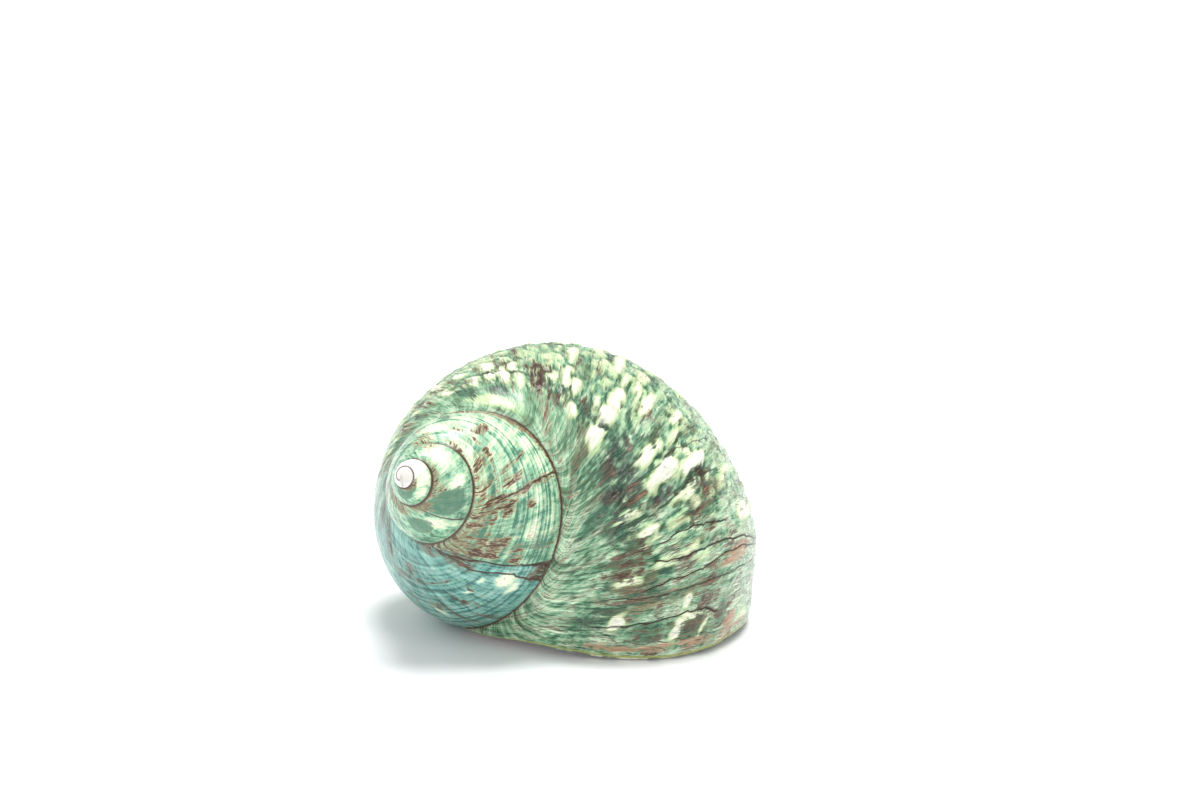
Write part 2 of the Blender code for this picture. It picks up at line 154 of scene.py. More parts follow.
# Lumps: growth angle, section angle, half width, half height in degrees, height in millimetres
LUMPS = (
    (-86.5, 65, 3.8, 4.5, 1.2), (-87, 54, 3.2, 5.5, 1.1), (-87, 42.5, 3, 6, 0.9),
    (-94.5, 52, 1.6, 4, 0.6), (-102, 66, 2.2, 3.2, 0.7), (-104, 53, 2.4, 5, 0.8),
    (-109.4, 52, 2.4, 5.5, 0.9), (-115, 54, 2, 3.5, 0.6), (-134, 53, 2.4, 4.5, 0.8),
    (-139, 62, 2.4, 6, 1), (-131, 64, 2.6, 4, 0.7), (-145.6, 62, 2.8, 3.2, 0.8),
    (-145.5, 50, 2.8, 6, 1), (-154.8, 63, 2.2, 4, 0.8), (-158.8, 51, 2.8, 4.5, 0.9),
    (-170, 64.5, 2.6, 3.6, 0.8), (-169, 49, 2.6, 5, 0.8), (-108.8, 27, 2.2, 8, 0.8),
    (-65.7, 44, 2.4, 6, 0.9), (-57.3, 39, 3, 8, 1.1), (-53.5, 21, 2.4, 8, 1),
    (-51, 60, 2, 5, 0.6), (-43, 51, 2.2, 5, 0.7), (-28.3, 55, 3, 4.5, 0.6),
    (-30.8, 42, 1.5, 5, 0.4), (-31.5, 30, 1.6, 5, 0.4), (-76.5, 29, 2, 8, 0.8),
    (-80.5, 31, 1.4, 6, 0.5), (-83, 26, 1.7, 5, 0.6), (-83, 15, 2.2, 6, 0.6),
    (-92.5, 18, 2, 10, 0.8), (-88, 28, 1.7, 5, 0.5), (-97, 27, 2, 6, 0.5),
    (-66.8, 17, 2, 5, 0.8), (-63.8, 26, 1.4, 6, 0.5), (-47.6, 28, 1.6, 9, 0.6),
    (-43, 26, 2.2, 4, 0.3), (-45.5, -3, 1.8, 8, 0.5), (-100, 12, 2.2, 8, 0.6),
)

# Pale patches that are not raised: growth, section, half width, half height, strength
PALE_PATCHES = (
    (-12.7, 53, 3, 2.4, 1.7), (-8.6, 26, 2.6, 2, 1.7), (-11.4, 21, 1, 4, 0.9),
    (-7.8, 12.3, 2.2, 1.2, 0.9), (-16.4, 25, 2.2, 1.8, 1.6), (-32.8, -14, 2.2, 8, 1.5),
    (-345, 27, 5, 8, 0.9), (-340, 17, 5, 4, 0.8), (-340, 42, 2.5, 2.5, 0.8),
    (-328, 40, 3, 2, 0.9), (-296, 22, 2, 8, 0.8), (-395, 23, 1.2, 5, 1.2),
    (-120, 45, 2, 3, 0.4), (-146, 35, 4, 8, 0.6), (-128, 35, 5, 6, 0.5),
    (-117, 37, 3, 6, 0.6), (-160, 80, 9, 3, 0.5), (-457, 30, 9, 8, 1),
    (-441, 36, 5, 12, 0.9), (-431, 18, 7, 9, 0.9), (-414, 12, 8, 9, 0.9),
    (-396, 23, 6, 8, 0.7), (-378, 28, 6, 7, 0.6), (-385, 8, 8, 6, 0.6),
    (-480, 48, 8, 14, 1), (-515, 62, 18, 10, 1), (-495, 74, 16, 4, 0.9),
    (-470, 77, 7, 4, 0.9), (-434, 58, 4, 5, 0.7), (-415, 57, 3, 4, 0.7),
    (-700, 40, 8, 20, 0.9), (-762, 35, 9, 22, 1.2), (-820, 45, 30, 30, 0.9),
    (-1120, 40, 30, 40, 1),
    (-1160, 40, 30, 40, 1.2), (-1075, 30, 20, 20, 0.8),
    (-28.5, 22, 1.2, 4, 0.5), (-4.5, -19, 2, 7, 0.6), (-152, 79, 14, 4, 0.55),
)

# Brown blotches: growth, section, half width, half height, strength
BROWN_BLOTCHES = (
    (-121, 63, 2.6, 4.5, 1), (-123, 53, 3, 4.5, 1), (-127.5, 51, 1.4, 1.8, 0.8),
    (-118, 50, 1.4, 2.5, 0.8), (-111, 66.5, 4.2, 2.2, 0.65), (-163, 51, 1, 5, 0.8),
    (-150, 52, 1, 5, 0.8), (-149.8, 66, 1.7, 2, 0.8), (-162, 64, 4, 2.5, 0.5),
    (-172.5, 53, 1, 4, 0.7), (-137, 50, 1, 4, 0.8), (-140.8, 50, 0.8, 6, 0.6),
    (-181.5, 66, 1.5, 3.5, 0.8), (-182, 53, 2, 5, 0.7), (-203, 67, 1.5, 7, 0.8),
    (-190, 76, 1.4, 4, 0.6), (-97, 58, 1.8, 1.5, 0.8), (-89, 77, 2.4, 4.5, 0.9),
    (-93, 68.5, 2.4, 3, 0.8), (-71.5, 66, 3.2, 2.8, 0.5), (-50, 67.5, 2, 1.3, 0.7),
    (-38, 54, 2.2, 3, 0.9), (-33, 58, 4, 7, 0.6), (-22, 48, 2.4, 9, 1),
    (-26, 30, 3, 2, 1), (-20.5, 62, 2.5, 6, 0.6), (-16, 50, 3, 4, 0.4),
    (-118, 76, 3, 6, 0.5), (-9, 3, 3.5, 4, 0.5), (-17, 14, 5, 5, 0.35),
    (-131.5, 34, 1, 8, 0.6), (-56.5, 55, 0.8, 4, 0.5),
    (-66, 73, 1.2, 3, 0.7), (-42, 36, 0.8, 5, 0.5), (-35, 20, 1, 6, 0.6), (-31, 52, 0.9, 6, 0.6),
    (-105, 34, 1.2, 5, 0.5), (-98, 30, 1, 6, 0.5),
    (-545, 80, 6, 4, 0.6), (-532, 74, 4, 5, 0.5), (-500, 84, 8, 3, 0.7),
    (-457, 79, 5, 4, 0.6), (-450, 75, 4, 3, 0.7), (-428, 76, 3, 4, 0.6),
    (-418, 81, 6, 3, 0.8), (-409, 74, 3, 4, 0.9), (-396, 79, 10, 5, 0.7),
    (-375, 77, 6, 3, 0.6), (-364, 80, 8, 6, 0.7), (-385, 84, 14, 3, 0.6),
    (-440, 84, 16, 3, 0.5), (-527, 67, 4, 2, 0.6), (-489, 64.5, 4, 1.8, 0.9),
    (-470, 66, 12, 1, 0.5), (-450, 65, 6, 2.2, 0.9), (-430, 66, 10, 1, 0.5),
    (-406, 64, 4, 3.5, 1), (-395, 66.5, 6, 1.8, 0.8), (-372, 66, 6, 3, 0.9),
    (-361, 66, 5, 3, 0.8), (-470, 56, 3, 2.5, 0.7), (-467, 51, 3, 4, 0.9),
    (-464, 45, 2, 3.5, 0.9), (-419, 56, 3, 3, 0.7), (-417.5, 49, 1.5, 6, 0.8),
    (-416, 42, 1.4, 2.2, 0.9), (-428, 50, 1.3, 8, 0.7), (-427, 36, 1, 6, 0.7),
    (-407, 52, 1.6, 8, 0.6), (-407, 38, 1.8, 4, 0.9), (-406, 24, 1.2, 10, 0.8),
    (-404, 6, 1.2, 8, 0.8), (-399, 54.5, 3.5, 4, 1), (-395, 32, 1.8, 3, 0.8),
    (-371, 54, 4.5, 5, 0.9), (-361, 54, 2.5, 4, 0.8), (-368, 37, 2, 4, 0.7),
    (-361, 32, 2.6, 3, 0.8), (-368, 20, 1, 4, 0.5), (-367, 10, 1, 8, 0.5),
    (-527, 42, 2, 8, 0.5), (-346, 67, 3, 8, 0.8), (-347, 78, 3, 8, 0.7),
    (-340, 80, 5, 3, 0.6), (-302, 64, 4, 2, 0.5), (-296, 60, 2, 4, 0.7),
    (-299, 53, 3, 2, 0.6), (-286, 52, 3, 2, 0.6), (-281, 49, 3, 3, 0.5),
    (-276, 63, 1.8, 4, 0.8), (-276, 76, 3, 4, 0.7), (-317, 30, 2.2, 1.6, 0.9),
    (-316, 35, 1, 4, 0.7), (-321, 25, 1, 4, 0.7), (-331, 42, 1.6, 1.6, 0.7),
    (-303, 29, 2.5, 3, 0.6), (-297, 27, 2.5, 3, 0.7), (-303, 14, 1, 12, 0.6),
    (-312, 0, 1.5, 8, 0.7), (-281, 27, 2, 4, 0.5), (-258, 72, 5, 6, 0.7),
    (-225, 68, 3, 6, 0.7), (-240, 62, 1.5, 8, 0.8), (-212, 78, 1.5, 5, 0.7),
    (-270, 66, 1.4, 8, 0.7), (-197, 60, 1.4, 8, 0.7), (-216, 60, 1.4, 7, 0.6),
    (-1250, 65, 12, 10, 0.4), (-1100, 80, 24, 7, 0.8),
    (-1105, 74, 10, 5, 0.9), (-800, 82, 30, 5, 0.7), (-720, 80, 12, 6, 0.7),
    (-660, 80, 16, 6, 0.7), (-850, 25, 14, 14, 0.5),
    (-600, 48, 6, 12, 0.6), (-640, 78, 14, 4, 0.7), (-760, 70, 8, 8, 0.4),
)

# Deep green or black-green blotches: growth, section, half width, half height, strength
DEEP_BLOTCHES = (
    (-62.5, 66, 3.5, 5, 1), (-72, 66, 4, 4, 1), (-58, 73, 4, 6, 0.6),
    (-50, 65, 4, 5, 0.8), (-66, 59, 3, 6, 0.9), (-75, 60, 4, 4, 0.8),
    (-80, 57, 5, 2, 0.6), (-67, 38, 1.6, 5, 0.5), (-50, 33, 1.6, 6, 0.5),
    (-60, 30, 1.4, 8, 0.5), (-40, 22, 1.6, 8, 0.5), (-72, 46, 3, 5, 0.4),
    (-85.8, 60.3, 1.3, 0.9, 0.7), (-52, 42, 1.6, 7, 0.5), (-49, 22, 2, 7, 0.6),
    (-51.5, 45, 2.4, 4.5, 0.7), (-35, 58, 7, 8, 0.55), (-8.2, 19.5, 2.2, 4.5, 0.9),
    (-46, 18, 6, 1.8, 0.7), (-96, 60, 3.5, 3, 0.8), (-163, 72, 5, 4, 0.7),
    (-144, 72, 5, 3, 0.7), (-111, 62, 5, 4, 0.7), (-122, 58, 4, 9, 0.6),
    (-190, 72, 4, 6, 0.5), (-135, 58.5, 30, 1, 0.5), (-76, 55, 6, 6, 0.5),
    (-58, 60, 5, 8, 0.6), (-12, 65, 4, 6, 0.5), (-9, 38, 3.5, 6, 0.5),
    (-8, 2, 4, 4, 0.6), (-18, 16, 5, 5, 0.4), (-736, 50, 15, 26, 1),
    (-680, 50, 13, 13, 0.9), (-1036, 60, 20, 16, 0.8), (-1075, 68, 16, 9, 0.8),
    (-1180, 62, 16, 10, 0.7), (-238, 74, 7, 4, 0.7), (-212, 70, 5, 4, 0.6),
    (-500, 35, 5, 12, 0.5), (-465, 52, 5, 8, 0.5), (-385, 35, 8, 6, 0.3),
)

# Main dark growth lines: darkness, half width, then (section angle, growth angle) pairs
GROWTH_LINES = (
    (1, 1.05, ((86, -365), (84, -353), (78, -349), (70, -351), (62, -354), (57, -356),
               (40, -355.5), (20, -356), (10, -355), (0, -354), (-14, -352))),
    (1, 0.75, ((57, -345.5), (45, -347.5), (38, -349.5), (28, -349.5), (18, -348),
               (8, -346), (0, -345.5), (-14, -342))),
    (1, 0.28, ((60, -10.5), (48, -11.5), (38, -12), (25, -13), (15, -12.7), (8, -10.5))),
    (1, 0.28, ((45, -32), (35, -30.7), (25, -30.2), (12, -29.6), (5, -28.8), (-5, -27.4),
               (-15, -26), (-26, -24))),
    (0.9, 0.24, ((46, -23.5), (38, -25.2), (30, -24.6), (20, -24.8), (8, -26), (-5, -25),
                 (-26, -22.5))),
    (0.9, 0.24, ((44, -37), (36, -38.3), (27, -37.2), (18, -35.6), (9, -34))),
    (0.7, 0.18, ((50, -60.4), (40, -60.6), (32, -61), (22, -59), (10, -57), (0, -56))),
    (0.6, 0.16, ((56, -47), (48, -47.4), (40, -48.6), (30, -49.6), (18, -49), (6, -47.5))),
    (0.7, 0.22, ((66, -21.5), (56, -22), (46, -20.8), (34, -21), (20, -20.6), (4, -20), (-20, -19))),
    (0.6, 0.16, ((70, -8.4), (62, -9.2), (56, -8.6), (50, -6.2), (40, -5.2), (25, -5.4),
                 (10, -5.2), (2, -4.6))),
    (0.9, 0.65, ((60, -407.5), (40, -407.2), (20, -406.6), (0, -405.5), (-10, -404))),
    (0.7, 0.35, ((56, -428.5), (44, -428.2), (32, -427.2))),
    (0.8, 0.3, ((52, -303.6), (30, -303.2), (5, -303.8), (-10, -302))),
    (0.8, 0.3, ((44, -315), (30, -316), (16, -312.5), (-6, -311))),
    (0.8, 1.6, ((76, -713), (30, -711), (0, -710))),
    (0.6, 0.16, ((66, -140.6), (56, -141.2), (44, -140.8), (30, -140.2))),
    (0.5, 0.16, ((46, -132.6), (30, -131.8), (18, -131.5))),
)


def smooth_step(value):
    """0 below 0, 1 above 1, 3v^2 - 2v^3 between."""
    v = np.clip(value, 0, 1)
    return v * v * (3 - 2 * v)


def rise(value, start, over):
    """Smooth step of (value - start) / over; where over is negative it falls from 1 to 0."""
    return smooth_step((value - start) / over)


def bell(value, centre, width):
    """exp(-((value - centre) / width)^2)."""
    return np.exp(-((value - centre) / width) ** 2)


def wander(u, v, seed):
    """Smooth noise from -1 to 1: seeded values on a unit lattice, blended by smooth steps."""
    table = np.random.default_rng(seed).uniform(-1, 1, (LATTICE, LATTICE))
    u, v = np.broadcast_arrays(u, v)
    i, j = np.floor(u).astype(int), np.floor(v).astype(int)
    a, b = smooth_step(u - i), smooth_step(v - j)
    left, right, near, far = i % LATTICE, (i + 1) % LATTICE, j % LATTICE, (j + 1) % LATTICE
    low = table[left, near] * (1 - a) + table[right, near] * a
    high = table[left, far] * (1 - a) + table[right, far] * a
    return low * (1 - b) + high * b


def whorl_scale(angle):
    """w = GROWTH ** (angle / turn)."""
    return GROWTH ** (np.asarray(angle) / TURN)


def outline_radius(around):
    """Section radius at the angle around its centre, measured up from straight out."""
    oval = SECTION_OVAL * np.cos(2 * (around - SECTION_OVAL_AT))
    square = SECTION_SQUARE * np.cos(4 * (around - SECTION_SQUARE_AT))
    low_side = np.mod(around - BASE_FILL_AT + math.pi, TURN) - math.pi
    fill = BASE_FILL * bell(low_side, 0, BASE_FILL_WIDTH)
    return SECTION_RADIUS * (1 + oval + square + fill)


def section_point(around, raised=0):
    """(r, z) of the section at w = 1, with relief added to its radius."""
    reach = outline_radius(around) + raised
    return SECTION_OFFSET + reach * np.cos(around), -SECTION_DROP + reach * np.sin(around)


def clearance(radius, height, scale):
    """Distance outside (positive) or inside (negative) of the section drawn at a scale."""
    across = radius - SECTION_OFFSET * scale
    up = height + SECTION_DROP * scale
    return np.hypot(across, up) - scale * outline_radius(np.arctan2(up, across))


def halve(function, low, high):
    """Root of a function that changes sign between low and high."""
    low_sign = function(low) > 0
    for _ in range(HALVINGS):
        middle = 0.5 * (low + high)
        if (function(middle) > 0) == low_sign:
            low = middle
        else:
            high = middle
    return 0.5 * (low + high)


def suture_angles():
    """Section angles of the suture: on the newer whorl and on the older one it lies on."""
    def gap(around):
        radius, height = section_point(around)
        return clearance(radius, height, 1 / GROWTH)
    newer = halve(gap, radians(60), radians(110))
    radius, height = section_point(newer)
    return newer, math.atan2(height + SECTION_DROP / GROWTH, radius - SECTION_OFFSET / GROWTH)


SUTURE_NEW, SUTURE_OLD = suture_angles()
AXIS_AT = halve(lambda around: section_point(around)[0], radians(-175), radians(-100))


def slant(around):
    """LAG_LINEAR s + LAG_SQUARE s^2, s the section angle below the suture over pi; more at the axis."""
    s = (SUTURE_NEW - around) / math.pi
    near_axis = rise(around, AXIS_AT + LAG_AT_AXIS_OVER, -LAG_AT_AXIS_OVER)
    return LAG_LINEAR * s + LAG_SQUARE * s * s + LAG_AT_AXIS * near_axis


def sweep(around):
    """LAG_AT_SUTURE (1 - exp(-d / LAG_AT_SUTURE_WIDTH)), d the section angle below the suture."""
    below = np.maximum(SUTURE_NEW - around, 0)
    return LAG_AT_SUTURE * (1 - np.exp(-below / LAG_AT_SUTURE_WIDTH))


def lag(around):
    """Angle by which a growth line trails its point on the suture: slant plus sweep."""
    return slant(around) + sweep(around)


def suture_fall(angle):
    """How far down the old whorl the suture has dropped where the new whorl is at this angle."""
    return SUTURE_FALL * smooth_step(1 + angle / SUTURE_FALL_OVER)


def belly(angle, around):
    """Swelling of the whorl wall just before the parietal side of the aperture."""
    return BELLY_HEIGHT * bell(angle, BELLY_TURN, BELLY_TURN_WIDTH) * bell(around, BELLY_AT, BELLY_WIDTH)


def base_lag(around):
    """Lag of the inner edge on the old whorl: none at the suture, all of it at the axis."""
    lowest = SUTURE_OLD - SUTURE_FALL
    return lag(AXIS_AT) * rise(around, lowest, AXIS_AT - lowest)


def ragged(growth, around, seed, amount=1):
    """Growth and section angles in degrees, moved by smooth noise so that patches get uneven edges."""
    across = 1.1 * wander(growth / 5, around / 6, seed)
    across += 0.6 * wander(growth / 1.6, around / 3.5, seed + 1)
    along = 2 * wander(growth / 3, around / 6, seed + 2)
    along += 0.9 * wander(growth / 1.4, around / 3, seed + 3)
    return growth + amount * across, around + amount * along


def patches(growth, around, places, steep=1, wider=1):
    """Highest of many soft ovals, strength exp(-0.7 (x^2 + y^2)^1.5), x steeper on the lip side.

    growth and around are in degrees; x and y are offsets over the oval's half width and height
    times wider.
    """
    level = np.zeros(np.broadcast(growth, around).shape)
    for at_growth, at_around, half_width, half_height, strength in places:
        x = (growth - at_growth) / (wider * half_width)
        x = np.where(x > 0, x * steep, x)
        y = (around - at_around) / (wider * half_height)
        level = np.maximum(level, strength * np.exp(-0.7 * (x * x + y * y) ** 1.5))
    return level


def cobbles(growth, around, seed):
    """Uneven bricks drawn out along the growth lines: domes with narrow grooves between them.

    A jittered lattice gives the centres; the dome is a smooth step of the difference between the
    distances to the nearest and the second nearest centre. Also returns each brick's own number.
    """
    across, along = ragged(growth, around, seed, 1)
    u = across / COBBLE_WIDTH + 0.004 * np.maximum(across + 110, 0)
    u += 0.35 * wander(across / 20, along / 25, seed)
    v = along / COBBLE_LENGTH
    random = np.random.default_rng(seed)
    shift_u, shift_v, number = random.uniform(0, 1, (3, LATTICE, LATTICE))
    cell_u, cell_v = np.floor(u).astype(int), np.floor(v).astype(int)
    nearest = np.full(u.shape, FAR)
    second = np.full(u.shape, FAR)
    own = np.zeros(u.shape)
    for step_u in (-1, 0, 1):
        for step_v in (-1, 0, 1):
            i, j = cell_u + step_u, cell_v + step_v
            pick = (i % LATTICE, j % LATTICE)
            away = np.hypot(u - i - 0.15 - 0.7 * shift_u[pick], v - j - 0.1 - 0.8 * shift_v[pick])
            closer = away < nearest
            second = np.where(closer, nearest, np.minimum(second, away))
            own = np.where(closer, number[pick], own)
            nearest = np.where(closer, away, nearest)
    return smooth_step((second - nearest) / 0.75), own


def sculptured(growth, around):
    """Share from 0 to 1 of the knobbed and ridged part of the last whorl, in degrees."""
    start = rise(growth, -215, 40)
    end = rise(growth, -22, -22)
    ramp = rise(around, 71, -7)
    low = rise(around, -75, 45)
    return start * end * ramp * low


def saw(phase, fall):
    """Slow rise and quick smooth fall, 0 to about 1, once for each unit of phase."""
    p = phase - np.floor(phase)
    return p ** 1.3 * (1 - smooth_step((p - 1 + fall) / fall))


def wrinkles(growth, around):
    """Height in millimetres of the wavy scale-like ridges that follow the growth lines."""
    bend = 0.9 * wander(growth / 9, around / 8, 3) + 0.5 * wander(growth / 4, around / 4.5, 4)
    coarse = saw(growth / 7 + 0.45 * bend, 0.3)
    fine = saw(growth / 3.1 + 0.55 * bend + 0.3, 0.35)
    patchy = 0.55 + 0.45 * wander(growth / 6 + 7, around / 6.5, 5)
    return (0.42 * coarse * patchy + 0.2 * fine * (1.2 - patchy)) * sculptured(growth, around)


def hidden_knobs(growth, around):
    """Height in millimetres of rows of knobs on the part of the last whorl the photo hides."""
    away = rise(around, 4, 12) * rise(growth, -178, 8)
    share = rise(growth, -235, 25) * (1 - away)
    level = 0
    for row, (row_at, size) in enumerate(((62, 0.8), (49, 0.7), (33, 0.5), (14, 0.35))):
        phase = growth / 8.2 + 0.37 * row + 0.15 * wander(growth / 11, row + 0.5, 8)
        wave = np.clip(0.5 + 0.7 * np.cos(TURN * phase), 0, 1)
        uneven = 0.75 + 0.25 * wander(growth / 8.2, row + 0.5, 9)
        level = np.maximum(level, size * wave * uneven * bell(around, row_at, 6))
    return level * share * rise(growth, -50, -20)


def line_distance(growth, around):
    """Signed distance to the nearest main growth line over its half width, and its dark nearness."""
    distance = np.full(growth.shape, FAR)
    darkness = np.zeros(growth.shape)
    width = np.full(growth.shape, 0.2)
    ripple = 0.5 * wander(around / 4, growth / 40, 11) + 0.26 * wander(around / 1.5, growth / 40, 12)
    for dark, half_width, points in GROWTH_LINES:
        at = np.array(sorted(points))
        offset = growth - np.interp(around, at[:, 0], at[:, 1]) + ripple
        ends = smooth_step((around - at[0, 0]) / 4 + 1) * smooth_step((at[-1, 0] - around) / 4 + 1)
        near = np.abs(offset) < np.abs(distance)
        distance = np.where(near, offset, distance)
        darkness = np.where(near, dark * ends, darkness)
        width = np.where(near, half_width, width)
    return distance / width, darkness * np.exp(-(distance / (5 * width)) ** 2)


def relief(growth_angle, section_angle):
    """Height in metres at w = 1 of lumps, cobbles, wrinkles, ramp, rest marks and lip swelling."""
    growth, around = np.degrees(growth_angle), np.degrees(section_angle)
    moved = ragged(growth, around, 21, 0.8)
    rough = sculptured(growth, around)
    dome, own = cobbles(growth, around, 31)
    level = patches(*moved, LUMPS, 1.4)
    level = np.maximum(level, hidden_knobs(growth, around))
    level += (0.25 + 0.35 * own) * dome * rough
    level += wrinkles(growth, around)
    active = rise(growth, -235, 30) * rise(growth, -15, -20)
    level -= 0.5 * bell(around, RAMP_AT, 7) * active
    level -= 0.16 * bell(around, KNOB_GROOVE_AT, 2) * active
    distance, nearness = line_distance(growth, around)
    groove = np.exp(-(distance / 1.3) ** 2)
    level -= 0.22 * groove * nearness
    rest = rise(growth, -356.5, 1.4) * rise(growth, -341, -9)
    level = level - 0.55 * rest - 0.35 * bell(growth, REST_AT, 1.2)
    near_lip = rise(growth, -60, 35)
    level += near_lip * 0.14 * wander(growth / 2.2, around / 16, 15)
    level = level + 0.7 * bell(growth, LIP_SWELL_AT, 9) - 0.45 * bell(growth, LIP_WAIST_AT, 6)
    level -= 0.3 * rise(growth, LIP_RIM_AT, 1.6) * rise(around, 64, -6)
    level += 0.1 * wander(growth / 13, around / 11, 17)
    return MILLIMETRE * level * rise(section_angle, SUTURE_NEW, -radians(9))


def place(angle, radius, height):
    """w * (r cos t, -r sin t, z) as an array of points."""
    scale = whorl_scale(angle)
    return np.stack([scale * radius * np.cos(angle), -scale * radius * np.sin(angle), scale * height], -1)


def column_angles():
    """-turn (1 - s - COLUMN_CROWDING sin(pi s)): one turn of columns, crowded at its end."""
    s = np.arange(COLUMNS + 1) / COLUMNS
    return -TURN * (1 - s - COLUMN_CROWDING * np.sin(math.pi * s))


def row_shares():
    """Shares 1 - (1 - x)^ROW_CROWDING from one suture to the next, crowded at the upper one."""
    return 1 - (1 - np.linspace(0, 1, FINE_ROWS + 1)) ** ROW_CROWDING


def spire_whorl(turns_back, shares):
    """One whorl between sutures: its points, growth angles and section angles."""
    columns = column_angles() - turns_back * TURN
    lowest = SUTURE_OLD - suture_fall(columns + TURN)
    around = lowest[:, None] + (SUTURE_NEW - lowest)[:, None] * shares[None, :]
    angle = np.broadcast_to(columns[:, None], around.shape)
    fade = rise(around, SUTURE_OLD, PRESSED_ON)
    growth = angle + lag(around)
    raised = relief(growth, around) * fade + belly(angle, around)
    return place(angle, *section_point(around, raised)), growth, around


def last_whorl():
    """The whorl that carries the lip, from the axis to its suture: points, angles and rows."""
    lowest = SUTURE_OLD - SUTURE_FALL
    low = np.linspace(AXIS_AT, lowest, BASE_ROWS + 1)
    rows = np.concatenate([low[:-1], lowest + (SUTURE_NEW - lowest) * row_shares()])
    suture = column_angles()
    blend = smooth_step((suture + TURN) / LAG_BLEND)[:, None]
    sweep_blend = smooth_step(suture / SWEEP_BLEND + 1)[:, None]
    slanted = base_lag(rows) * (1 - blend) + slant(rows) * blend
    angle = suture[:, None] - slanted - sweep(rows) * sweep_blend
    around = np.broadcast_to(rows, angle.shape)
    growth = angle + lag(around)
    onset = rise(suture[:, None], -TURN, ONSET)
    below_old_suture = rise(around, SUTURE_OLD, PRESSED_ON)
    raised = relief(growth, around) * np.maximum(below_old_suture, onset)
    raised += belly(angle, around)
    radius, height = section_point(around, raised)
    radius[:, 0] = 0
    points = place(angle, radius, height)
    seat_at = SUTURE_OLD - suture_fall(angle[:, -1])
    seat_turn = angle[:, -1] - TURN
    seat = place(seat_turn, *section_point(seat_at, belly(seat_turn, seat_at)))
    pull = smooth_step((around - SUTURE_NEW) / SUTURE_FALL_FADE + 1)
    points += pull[..., None] * (seat - points[:, -1])[:, None, :]
    return points, growth, around, angle, rows


def lumen_reach(direction, centre):
    """Distance from the tracing centre to the inside face, along each direction.

    The inside face is where the soft maximum of three terms is zero: less than a wall from the
    outside, closer than the callus to the earlier whorl, or inside the central pillar.
    """
    steps = np.linspace(*LUMEN_SCAN)[None, :]
    radius = centre[0] + steps * np.cos(direction)[:, None]
    height = centre[1] + steps * np.sin(direction)[:, None]
    near_outside = clearance(radius, height, 1) + WALL
    near_old_whorl = CALLUS - clearance(radius, height, 1 / GROWTH)
    near_axis = COLUMELLA_RADIUS - radius
    terms = np.stack([near_outside, near_old_whorl, near_axis]) / SOFT_CORNER
    level = np.log(np.exp(terms).sum(0))
    last_inside = np.argmax(level > 0, axis=1) - 1
    pick = np.arange(len(direction))
    before = level[pick, last_inside]
    after = level[pick, last_inside + 1]
    share = before / (before - after)
    return steps[0, last_inside] + share * (steps[0, 1] - steps[0, 0])


def aperture_edge(rows, angle, outside):
    """Closed loop round the aperture: lip, then pillar, then old whorl, with section places."""
    lip = outside[-1, ::-1]
    pillar = outside[-2::-1, 0]
    old_whorl = outside[0, 1:BASE_ROWS + 1]
    loop = np.concatenate([lip, pillar, old_whorl])
    lip_radius, lip_height = section_point(rows[::-1])
    pillar_turn = np.full(COLUMNS, angle[-1, 0])
    pillar_height = pillar[:, 2] / whorl_scale(pillar_turn)
    old_radius, old_height = section_point(rows[1:BASE_ROWS + 1])
    turn = np.concatenate([angle[-1, ::-1], pillar_turn, angle[0, 1:BASE_ROWS + 1] + TURN])
    radius = np.concatenate([lip_radius, np.zeros(COLUMNS), old_radius / GROWTH])
    height = np.concatenate([lip_height, pillar_height, old_height / GROWTH])
    return loop, turn, radius, height


def lumen(rows, angle, outside):
    """Rounded lip edge and the cavity that coils back from it: rings of points and the pole."""
    loop, turn, radius, height = aperture_edge(rows, angle, outside)
    centre = (SECTION_OFFSET + LUMEN_CENTRE_SHIFT, -SECTION_DROP)
    direction = np.arctan2(height - centre[1], radius - centre[0])
    reach = lumen_reach(direction, centre)
    inner_radius = centre[0] + reach * np.cos(direction)
    inner_height = centre[1] + reach * np.sin(direction)
    edge = place(turn, inner_radius, inner_height)
    ahead = place(turn + AHEAD, inner_radius, inner_height) - edge
    ahead = ahead / np.linalg.norm(ahead, axis=1, keepdims=True)
    thickness = np.linalg.norm(edge - loop, axis=1, keepdims=True)
    shares = (np.arange(LIP_ROWS) / LIP_ROWS)[:, None, None]
    bulge = LIP_ROUNDING * np.sin(math.pi * shares)
    lip = loop + (edge - loop) * shares + ahead * thickness * bulge
    depth = LUMEN_TURNS * TURN * np.linspace(0, 1, LUMEN_RINGS) ** LUMEN_CROWDING
    cavity = place(turn[None, :] - depth[:, None], inner_radius[None, :], inner_height[None, :])
    deepest = np.mean(turn) - LUMEN_TURNS * TURN
    pole = place(np.array(deepest), np.array(centre[0]), np.array(centre[1]))
    inside = np.concatenate([np.arange(LIP_ROWS) / (LIP_ROWS - 1), np.ones(LUMEN_RINGS)])
    lip_turn = np.broadcast_to(turn, (LIP_ROWS, len(turn)))
    growth = np.concatenate([lip_turn, turn[None, :] - depth[:, None]])
    return np.concatenate([lip, cavity]), pole, growth, direction, inside


def rotation(axis, angle):
    """Turn matrix about a unit axis: I + sin(a) K + (1 - cos(a)) K^2."""
    x, y, z = axis
    cross = np.array([[0.0, -z, y], [z, 0.0, -x], [-y, x, 0.0]])
    return np.eye(3) + math.sin(angle) * cross + (1 - math.cos(angle)) * cross @ cross


